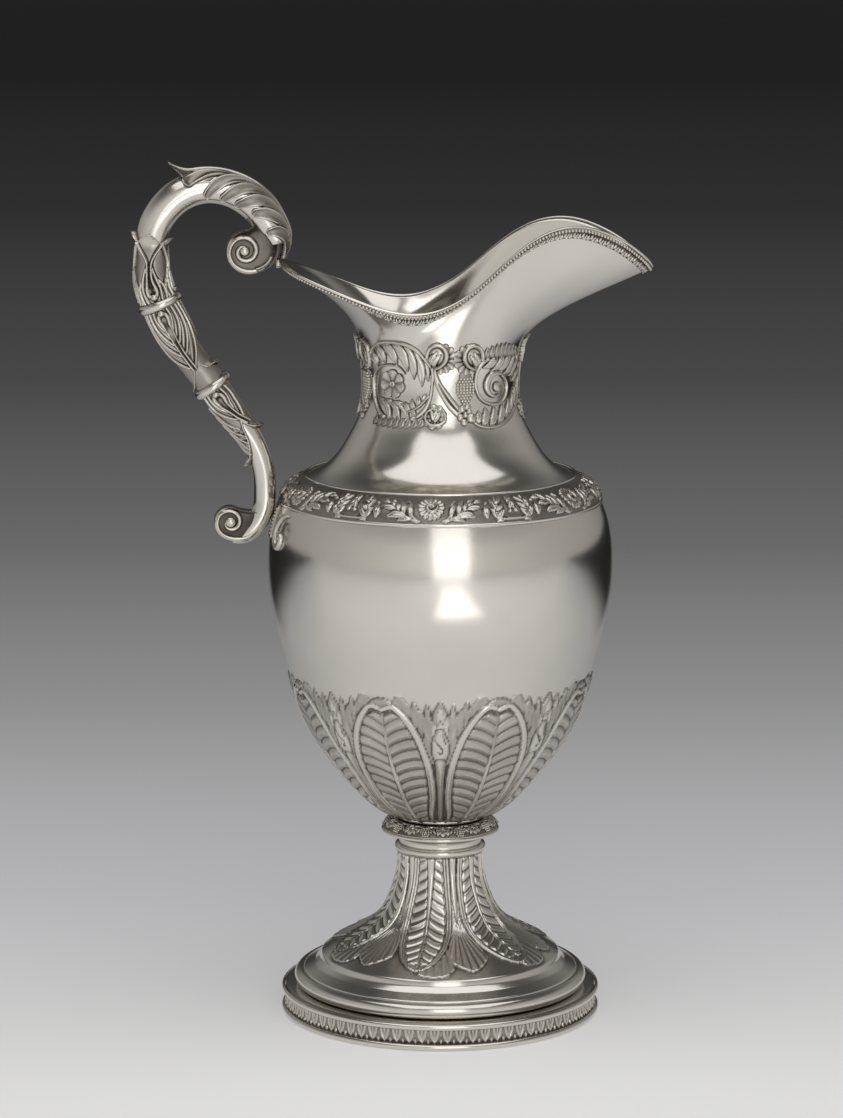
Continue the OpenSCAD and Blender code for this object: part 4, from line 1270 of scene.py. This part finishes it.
def chase_calyx(bar):
    """Four pointed sepals over a sleeve of nested lobes; the slit's drop is at its foot."""
    patch = bar.relief(SLIT_AT, 4)
    end = bar.length[-1]
    half = (TURN / 8 * bar.r).mean()
    keyhole(patch.shifted(patch.x, end - 0.6 - patch.y), (15.5, 12), 15, 3.2, 2.2)
    mirror = patch.shifted(np.abs(patch.x))
    mirror.stroke([(half + 0.2, 3.4), (3.4, 7.6), (1.2, 12), (0.8, 16)], (1.2, 1.2, 1), 1.3,
                  cut=0.4)
    edge = np.interp(patch.y, (-0.3, 1.2, 3, 4.6), (0.3, 2.6, 4.9, 6.6))
    inner = smooth(np.abs(patch.x) - edge, -1.1, -0.5) * (patch.y < 5)
    patch.h += 0.25 * inner
    notch = (np.abs(patch.x) > edge) & (patch.y < 4.6)
    u = patch.y / end
    flare = np.interp(u, (0, 0.05, 0.13, 0.3, 0.75, 1), (3.0, 2.0, 0.9, 0.2, 0.5, 0.1))
    return np.where(notch, -1.0, patch.h + flare)


def chase_grip(bar):
    """Two opposed keyholes with nested lobes; the leaves end in points over the ring."""
    patch = bar.relief(SLIT_AT, 2)
    end = bar.length[-1]
    keyhole(patch, [share * end for share in (0.28, 0.42, 0.56, 0.73)], 0.77 * end, 2.9, 2.4)
    inner = bar.relief(math.pi)
    inner.h = patch.h
    outer = bar.relief(0)
    outer.h = patch.h
    for leaf, tip, flare in ((inner, end - 4.5, 1.6), (outer, end - 0.6, 0.8)):
        x = np.abs(leaf.x)
        half = np.interp(leaf.y, (end - 11, end - 7, tip - 2, tip), (11, 8.4, 4.4, 0))
        inside = np.minimum(half - x, tip - leaf.y)
        rim = np.exp(-((inside - 0.5) / 0.45) ** 2) * (leaf.y > end - 10)
        leaf.h[:] = np.maximum(leaf.h, 1.05 * rim)
        leaf.h[:] += flare * smooth(leaf.y, tip - 5, tip) * smooth(inside, -0.1, 0.3)
    bare = (patch.y > end - 9) & (np.abs(patch.x) < np.interp(patch.y, (end - 9, end), (0.4, 7)))
    patch.h[:] = np.where(bare, np.minimum(patch.h, 0.1), patch.h)
    u = patch.y / end
    return patch.h + np.interp(u, (0, 0.3, 0.65, 0.9, 1), (0, 0.4, 0, 0.1, 0))


def chase_sheath(bar):
    """A slit that wanders to the inside, a short inner tip and a long outer one."""
    side_on = bar.relief(SLIT_AT)
    both = np.where(np.abs(bar.angle - SLIT_AT) < math.pi / 2, 1, -1)
    a = np.where(both > 0, bar.angle - SLIT_AT, -((bar.angle + SLIT_AT + math.pi) % TURN - math.pi))
    wander = np.interp(side_on.y, (0, 8, 16, 24, 42), (0, 0.4, 2.4, 5.6, 5.6))
    patch = side_on.shifted(a[None] * bar.r[:, None] + wander)
    keyhole(patch, (12.5, 17.5), 21)
    outer_x = np.abs(((bar.angle + math.pi) % TURN - math.pi)[None] * bar.r[:, None])
    outer = side_on.shifted(outer_x)
    for y in (20, 25, 30, 35):
        outer.lobe([(0.6, y - 14), (1.6, y - 7), (3.6, y - 2), (6.6, y + 1.2)], 3.8, 1.3, hollow=0.65,
                   cut=0.6, form=(0.4, 0.8, 1, 1, 0.5))
    inner_x = np.abs(((bar.angle + TURN) % TURN - math.pi)[None] * bar.r[:, None])
    outer_half = np.interp(side_on.y, (0, 19, 22, 26, 31, 36, 39, 41.5), (20, 10.5, 9.2, 8, 6.4, 4.4, 2.4, 0))
    inner_half = np.interp(side_on.y, (0, 16, 19, 22, 25, 27), (20, 10.5, 9, 7.4, 5, 0))
    inside = np.maximum(np.minimum(outer_half - outer_x, 41.5 - side_on.y),
                        np.minimum(inner_half - inner_x, 27 - side_on.y))
    rim = np.exp(-((inside - 0.5) / 0.45) ** 2) * (side_on.y > 15)
    h = np.maximum(side_on.h, 1.1 * rim)
    h = h + 0.35 + 2.4 * smooth(side_on.y, 35, 41.5) ** 1.5 * (outer_x < 9)
    h = h + 1.8 * smooth(side_on.y, 20, 27) ** 1.5 * (inner_x < 8) * (side_on.y < 27.5)
    return np.where(inside > 0, h, -1.0)


LEAF_LINE = [(-77.4, 364.4, 2.6), (-77.6, 373.4, 6.1), *HANDLE[:11]]


def make_handle_leaf():
    """Long leaf over the handle's shoulder: six overlapping lobes a side, tip turned up."""
    bar = Bar(-1.95, 4.15, 224, 144, math.radians(280), LEAF_LINE, -2)
    x = bar.angle[None] * bar.r[:, None]
    leaf = Relief(x, bar.length[:, None], -1)
    mirror = leaf.shifted(np.abs(leaf.x))
    end = bar.length[-1]
    half = np.interp(leaf.y, (0, 8, 14, end - 9, end - 2.6, end), (2.4, 6, 8.4, 8.8, 7, 0.4))
    inside = np.minimum(half - mirror.x, end - leaf.y)
    spot = leaf.y > -1
    mirror.lay(spot, inside[spot], np.full(leaf.h.shape, 0.35)[spot])
    lobes = [(8.4, end - 2, 5.6), (15.2, 54, 5.6), (16, 45.2, 5.8), (16.1, 36.6, 5.8),
             (14.2, 27.2, 5.6), (12.4, 15.4, 5)]
    for tip_x, tip_y, width in lobes:
        reach = min(30.0, tip_y + 1)
        path = [(0.9, tip_y - reach), (1.5 + 0.12 * tip_x, tip_y - 0.62 * reach),
                (0.46 * tip_x, tip_y - 0.34 * reach), (0.8 * tip_x, tip_y - 0.14 * reach),
                (0.97 * tip_x, tip_y - 1.8)]
        mirror.lobe(path, width, 1.75, base=0.1, hollow=0.62, cut=0.9, moat=0.55,
                    form=(0.3, 0.45, 0.65, 0.9, 1, 0.8))
    mirror.stroke([(0, -1), (0, end / 2), (0, end + 1)], (2.2, 3, 2.6, 1.6), 1.9, base=0.15, cut=0.6)
    u = np.clip((bar.s - 3.5) / (4.15 - 3.5), 0, 1)[:, None]
    lift = 6.8 * u ** 2.4
    recess = np.maximum(hollowness(leaf.h, 4, 0.5, False), 0.8 * hollowness(leaf.h, 8, 0.5, False))
    recess = np.maximum(recess, 0.5 * smooth(leaf.h, 1.75, 1.3))
    piece = pierced("handle_leaf", lambda h: bar.places(h + lift), leaf.h, recess, back=-0.7)
    finish_piece(piece, CAST, "cast_silver", "handle_leaf")


def volute(name, at, outline, rib, width, fall):
    """A scroll end: its outline and its spiral rib are (degrees, radius) round at, in mm."""
    columns, rows = 240, 56
    turn = np.arange(columns) * TURN / columns
    fine = spline(outline, 300)
    bearing = np.unwrap(np.arctan2(fine[:, 1], fine[:, 0]))
    order = np.argsort(bearing)
    reach = np.interp(turn, bearing[order], np.hypot(fine[:, 0], fine[:, 1])[order], period=TURN)
    share = np.linspace(0, 1, rows)[:, None]
    x, z = share * reach * np.cos(turn), share * reach * np.sin(turn)
    face = Relief(x, z, -1.0)
    rib = np.array(rib, float)
    bend = np.radians(rib[:, 0])
    sweep = np.linspace(bend[0], bend[-1], 120)
    path = cubic(-bend, rib[:, 1:], -sweep)[:, 0]
    cord = np.stack([path * np.cos(sweep), path * np.sin(sweep)], 1)
    spot, d, t, _ = face.near(cord, 3)
    half = np.interp(t, (0, 0.15, 0.6, 1), (0.6, 1.3, 1.15, 0.95))
    face.lay(spot, half - d, -1 + 1.5 * np.sqrt(np.clip(1 - (d / half) ** 2, 0, 1)), cut=0.3)
    face.bead(0, 0, rib[-1, 1] + 0.3, 1.5, base=-0.9)
    rim = smooth(share, 0.9, 0.985) * (share < 1)
    h = np.maximum(face.h, -0.9 + 1.1 * rim) - fall(turn)[None] * smooth(share, 0.62, 1.0) ** 1.6
    depth = width / 2 + h
    front = np.stack([at[0] + x, -depth, at[1] + z], -1)
    back = front[::-1] * (1, -1, 1)
    recess = hollowness(face.h, 4, 0.6, False)
    recess = np.maximum(recess, 0.75 * smooth(face.h, -0.2, -0.9))
    recess[-1] = 0
    piece = mesh_piece(name, np.vstack([front, back]), grid_faces(2 * rows, columns, False, True),
                       weld=True, recess=np.vstack([recess, recess[::-1]]))
    finish_piece(piece, CAST, "cast_silver", name)


def make_volutes():
    """Scroll ends: the upper one under the leaf, the lower one below the body's shoulder."""

    def round_about(steps):
        return [(r * math.cos(math.radians(a)), r * math.sin(math.radians(a))) for a, r in steps]
    upper = [(75, 10.4), (62, 13.6), (48, 16.2), (30, 17.6), (10, 17.2), (-10, 16.2), (-30, 14.6),
             (-50, 12.7), (-90, 10.6), (-135, 9.2), (-180, 8.4), (-232, 8.6), (-262, 9.2), (-285, 10.4)]
    volute("handle_upper_volute", (-92.3, 368.6), round_about(upper),
           [(-14, 13), (-45, 11.6), (-90, 9.5), (-135, 8.2), (-180, 7.4), (-225, 7), (-270, 6.5),
            (-360, 5.4), (-450, 4.4), (-540, 3.2), (-620, 1.9)], 14,
           lambda a: np.where(np.cos(a - math.radians(20)) > 0.2, 4.0, 1.2))
    lower = [(20, 13.4), (0, 14.4), (-32, 13), (-60, 10.4), (-90, 8.8), (-135, 7.9), (-180, 7.4),
             (-225, 7.3), (-270, 7.2), (-305, 7.2), (-325, 9), (-340, 13.4)]
    volute("handle_lower_volute", (-99.9, 240.2), round_about(lower),
           [(-30, 12), (-60, 9.6), (-90, 8), (-135, 7.1), (-180, 6.6), (-225, 6.2), (-270, 5.6),
            (-360, 4.4), (-450, 3.3), (-520, 2.2)], 10.4,
           lambda a: np.full(a.shape, 1.0))


def make_handle_mounts():
    """Boss at the rim, beaded plate on the body and a curled strap to each side of it."""
    pad = [(0.02, 0), (1.6, 0), (2.4, 0.5), (2.4, 1.8), (1.8, 2.4), (0.02, 2.6)]
    u = np.arange(32) * TURN / 32
    rows = [np.stack([np.full(32, -77.6 + h), r * np.cos(u), 362.4 + r * np.sin(u)], 1) for r, h in pad]
    piece = mesh_piece("handle_rim_pad", np.array(rows), grid_faces(len(pad), 32, True, True),
                       recess=np.zeros((len(pad), 32)))
    finish_piece(piece, CAST, "cast_silver", "handle_rim_pad")
    wall = Wall(spline(BOWL, 240))
    wall_r = 78
    for name, label, low, high, start, finish in (
            ("handle_body_plate", "handle_body_plate", 233, 248.4, -8, 8),
            ("handle_plate_scroll_front", "handle_plate_scrolls", 229, 246.5, 12, 30),
            ("handle_plate_scroll_back", "handle_plate_scrolls", 229, 246.5, -30, -12)):
        x = np.arange(start, finish + 0.01, 0.3)
        y = np.arange(low, high, 0.3)
        patch = Relief(x[None], y[:, None], -1)
        if name == "handle_body_plate":
            patch.stroke([(0, low + 1.4), (0, high - 1.4)], 13, 0.8, round_to=0.15)
            for k in range(8):
                for side_x in (-4.6, 4.6):
                    patch.bead(side_x, low + 2 + 1.6 * k, 0.75, 0.7, base=0.6)
        else:
            strap = patch.shifted(np.abs(patch.x))
            strap.stroke([(25.5, 247), (20.6, 244.8), (17.4, 241), (16.2, 236.6), (17.6, 232.2),
                          (21.4, 230.8), (24.2, 233.2), (23.6, 236.8), (20.8, 237.2), (20.2, 234.8)],
                         (3.4, 3.8, 3.2, 2.6, 1.8), 2.0, count=70)
            strap.bead(21, 235.2, 1.4, 1.5)

        def place(h, grid=patch):
            s = np.interp(grid.y, wall.p[:, 1], wall.s)
            return wall.places(math.pi + grid.x / wall_r, s, h)

        piece = pierced(name, place, patch.h, hollowness(patch.h, 3, 0.6, False), back=-0.5)
        finish_piece(piece, CAST, "cast_silver", label)


def make_handle():
    """Bar, sheaths and rings of the handle."""
    tail = [*HANDLE, (-93.6, 233.6, 4.2), (-100.4, 232.2, 2.4)]
    for name, first, last, line, start in (
            ("handle_upper_tube", -1.2, CALYX_AT + 0.8, LEAF_LINE, -2),
            ("handle_lower_tube", LOWER_TUBE_AT - 1.6, HANDLE_END + 1.8, tail, 0)):
        rows = 130
        bar = Bar(first, last, rows, 72, TURN, line, start)
        flat = np.zeros((rows, 72))
        finish_piece(bar.solid(name, flat, flat), SHEET, "polished_silver", name)
    bar = Bar(CALYX_AT - 0.15, UPPER_RING_AT - RING_HALF, 160, 216)
    h = chase_calyx(bar)
    piece = pierced("handle_calyx", bar.places, h, worn(h, 0.5, 1.1), wrap=True)
    finish_piece(piece, CAST, "cast_silver", "handle_calyx")
    bar = Bar(UPPER_RING_AT + RING_HALF, LOWER_RING_AT - RING_HALF, 220, 240)
    h = chase_grip(bar)
    finish_piece(bar.solid("handle_grip", h, worn(h, 0.5, 1.1)), CAST, "cast_silver", "handle_grip")
    bar = Bar(LOWER_RING_AT + RING_HALF, LOWER_TUBE_AT + 1.65, 204, 184)
    h = chase_sheath(bar)
    piece = pierced("handle_lower_sheath", bar.places, h, worn(h, 0.8, 1.4), wrap=True)
    finish_piece(piece, CAST, "cast_silver", "handle_lower_sheath")
    for name, at in (("handle_upper_ring", UPPER_RING_AT), ("handle_lower_ring", LOWER_RING_AT)):
        bar = Bar(at - RING_HALF, at + RING_HALF, 17, 72)
        u = np.linspace(-1, 1, 17)
        h = np.repeat((0.2 + 2.4 * np.sqrt(np.clip(1 - u * u, 0, 1)))[:, None], 72, 1)
        # A true ring: every section square to the bar's direction at its middle.
        middle, out = bar.centre[8], bar.out[8]
        bar.centre = middle + np.outer(u * 2.3, np.cross(out, (0, 1, 0)))
        bar.out = np.repeat(out[None], 17, 0)
        bar.r = np.full(17, bar.r[8])
        finish_piece(bar.solid(name, h, 0 * h), SHEET, "polished_silver", name)


# ---------------------------------------------------------------- stage, lights and camera

VIEW_TURN = math.radians(5)


def make_stage():
    """A wide pale floor under the overhead light; its fall into shadow behind is painted shade in its colour.
    """
    material, tree = new_material("pale floor")
    place = node(tree, "ShaderNodeTexCoord")
    onward = node(tree, "ShaderNodeVectorMath", {0: (place, "Object")},
                  {1: (math.sin(VIEW_TURN), math.cos(VIEW_TURN), 0)}, operation="DOT_PRODUCT")
    across = node(tree, "ShaderNodeVectorMath", {0: (place, "Object")},
                  {1: (math.cos(VIEW_TURN), -math.sin(VIEW_TURN), 0)}, operation="DOT_PRODUCT")
    # Painted shade: the floor's colour comes from a ramp that darkens with distance behind the pitcher.
    depth = node(tree, "ShaderNodeMapRange", {"Value": (onward, "Value")},
                 {"From Min": -0.8, "From Max": 7.2})
    sweep = node(tree, "ShaderNodeValToRGB", {"Fac": (depth, "Result")})
    # Behind the pitcher the pale sweep is narrow, with painted shade to either side: the floor colour there
    # turns near black.
    aside = node(tree, "ShaderNodeMath", {0: (across, "Value")}, operation="ABSOLUTE")
    past = node(tree, "ShaderNodeMath", {0: (onward, "Value"), 2: (aside, "Value")}, {1: -0.104},
                operation="MULTIPLY_ADD")
    beside = node(tree, "ShaderNodeMapRange", {"Value": (past, "Value")},
                  {"From Min": 0.26, "From Max": 0.4}, interpolation_type="SMOOTHSTEP")
    behind = node(tree, "ShaderNodeMapRange", {"Value": (onward, "Value")},
                  {"From Min": 0.3, "From Max": 0.8}, interpolation_type="SMOOTHSTEP")
    painted_shade_aside = node(tree, "ShaderNodeMath", {0: (beside, "Result"), 1: (behind, "Result")},
                 operation="MULTIPLY")
    fade = node(tree, "ShaderNodeMix", {"Factor": (painted_shade_aside, "Value")}, data_type="RGBA")
    tree.links.new(sweep.outputs["Color"], fade.inputs[6])
    # 1c1c1c is painted shade: the near-black floor colour aside and behind the pitcher.
    fade.inputs[7].default_value = colour("#1c1c1c")
    # The floor's colour also glows faintly through its emission, painted light that keeps it pale under the
    # foot.
    shader = node(tree, "ShaderNodeBsdfPrincipled", {}, {"Roughness": 0.9, "Emission Strength": 0.32})
    tree.links.new(fade.outputs[2], shader.inputs["Base Color"])
    tree.links.new(fade.outputs[2], shader.inputs["Emission Color"])
    shader.inputs["Specular IOR Level"].default_value = 0.1
    node(tree, "ShaderNodeOutputMaterial", {"Surface": (shader, "BSDF")})
    # The ramp's colours are painted shade: near white in front, falling to near black far behind.
    ramp = sweep.color_ramp
    ramp.elements[0].color = colour("#f6f6f6")
    ramp.elements[1].color = colour("#242425")
    for at, code in ((0.06, "#f4f4f4"), (0.082, "#ebebeb"), (0.1, "#dededf"), (0.125, "#ccccd0"),
                     (0.19, "#a2a2a3"), (0.26, "#7e7e7f"), (0.38, "#5a5a5b"), (0.62, "#3a3a3b")):
        stop = ramp.elements.new(at)
        stop.color = colour(code)
    mesh = bpy.data.meshes.new("floor")
    a = np.arange(64) * TURN / 64
    ring = [(12 * math.cos(v), 12 * math.sin(v), 0) for v in a]
    mesh.from_pydata(ring, [], [list(range(64))])
    floor = bpy.data.objects.new("floor", mesh)
    floor.data.materials.append(material)
    bpy.context.scene.collection.objects.link(floor)


def make_lights():
    """A soft sky, bright in front and dark behind, with panels by the camera, low and overhead."""
    world = bpy.data.worlds.new("studio")
    bpy.context.scene.world = world
    world.use_nodes = True
    tree = world.node_tree
    tree.nodes.clear()
    place = node(tree, "ShaderNodeTexCoord")
    forward = (-math.sin(VIEW_TURN), -math.cos(VIEW_TURN), 0)
    facing = node(tree, "ShaderNodeVectorMath", {0: (place, "Generated")}, {1: forward},
                  operation="DOT_PRODUCT")
    parts = node(tree, "ShaderNodeSeparateXYZ", {0: (place, "Generated")})
    share = node(tree, "ShaderNodeMapRange", {"Value": (facing, "Value")}, {"From Min": -1.0})
    front = node(tree, "ShaderNodeValToRGB", {"Fac": (share, "Result")})
    ramp = front.color_ramp
    ramp.elements[0].color = (0.03, 0.03, 0.03, 1)
    ramp.elements[1].color = (0.78, 0.78, 0.78, 1)
    for at, bright in ((0.02, 0.04), (0.06, 0.24), (0.18, 0.36), (0.64, 0.5), (0.9, 0.64)):
        ramp.elements.new(at).color = (bright, bright, bright, 1)
    above = node(tree, "ShaderNodeMapRange", {"Value": (parts, "Z")},
                 {"From Min": 0.3, "From Max": 0.75, "To Min": 1.0, "To Max": 0.22},
                 interpolation_type="SMOOTHSTEP")
    strength = node(tree, "ShaderNodeMath", {0: (front, "Color"), 1: (above, "Result")},
                    operation="MULTIPLY")
    sky = node(tree, "ShaderNodeBackground", {"Strength": (strength, "Value")},
               {"Color": colour("#fffdf8")})
    node(tree, "ShaderNodeOutputWorld", {"Surface": (sky, "Background")})
    panel("camera side panel", (0.1, -2.45, 0.95), (0, 0, 0.24), (1.1, 1.9), 1.08)
    panel("floor panel", (0.08, -1.15, 0.01), (0.08, -1.15, 1), (0.36, 1.1), 1.0)
    panel("overhead panel", (0.05, -0.95, 2.3), (0.05, -0.95, 0), (3.0, 2.5), 1.1)


def panel(name, place, target, size, radiance):
    """A soft rectangular light; radiance is what a mirror facing it shows."""
    light = bpy.data.lights.new(name, "AREA")
    light.shape = "RECTANGLE"
    light.size, light.size_y = size
    light.energy = radiance * math.pi * size[0] * size[1]
    lamp = bpy.data.objects.new(name, light)
    lamp.location = place
    lamp.rotation_euler = (Vector(target) - Vector(place)).to_track_quat("-Z", "Y").to_euler()
    bpy.context.scene.collection.objects.link(lamp)


def make_camera():
    """Eye above the pitcher, looking down at its middle and a little round from square on."""
    distance, height, aim_z, aside = 1.92, 0.5678, 0.2203, 0.00898
    long_side_mm, focal_mm = 36, 131.95707
    back = Vector((-math.sin(VIEW_TURN), -math.cos(VIEW_TURN), 0)) * distance
    right = Vector((math.cos(VIEW_TURN), -math.sin(VIEW_TURN), 0))
    lens = bpy.data.cameras.new("camera")
    lens.sensor_width = long_side_mm
    lens.lens = focal_mm
    camera = bpy.data.objects.new("camera", lens)
    camera.location = back + Vector((0, 0, height))
    target = Vector((0, 0, aim_z)) - right * aside
    camera.rotation_euler = (target - camera.location).to_track_quat("-Z", "Y").to_euler()
    bpy.context.scene.collection.objects.link(camera)
    bpy.context.scene.camera = camera
    bpy.context.scene.view_settings.view_transform = "Standard"


make_camera()
make_foot()
make_dome()
make_stem_top()
make_grape_band()
make_bowl()
make_shoulder()
make_neck_band()
make_mouth()
make_rim()
make_handle()
make_handle_leaf()
make_volutes()
make_handle_mounts()
make_stage()
make_lights()
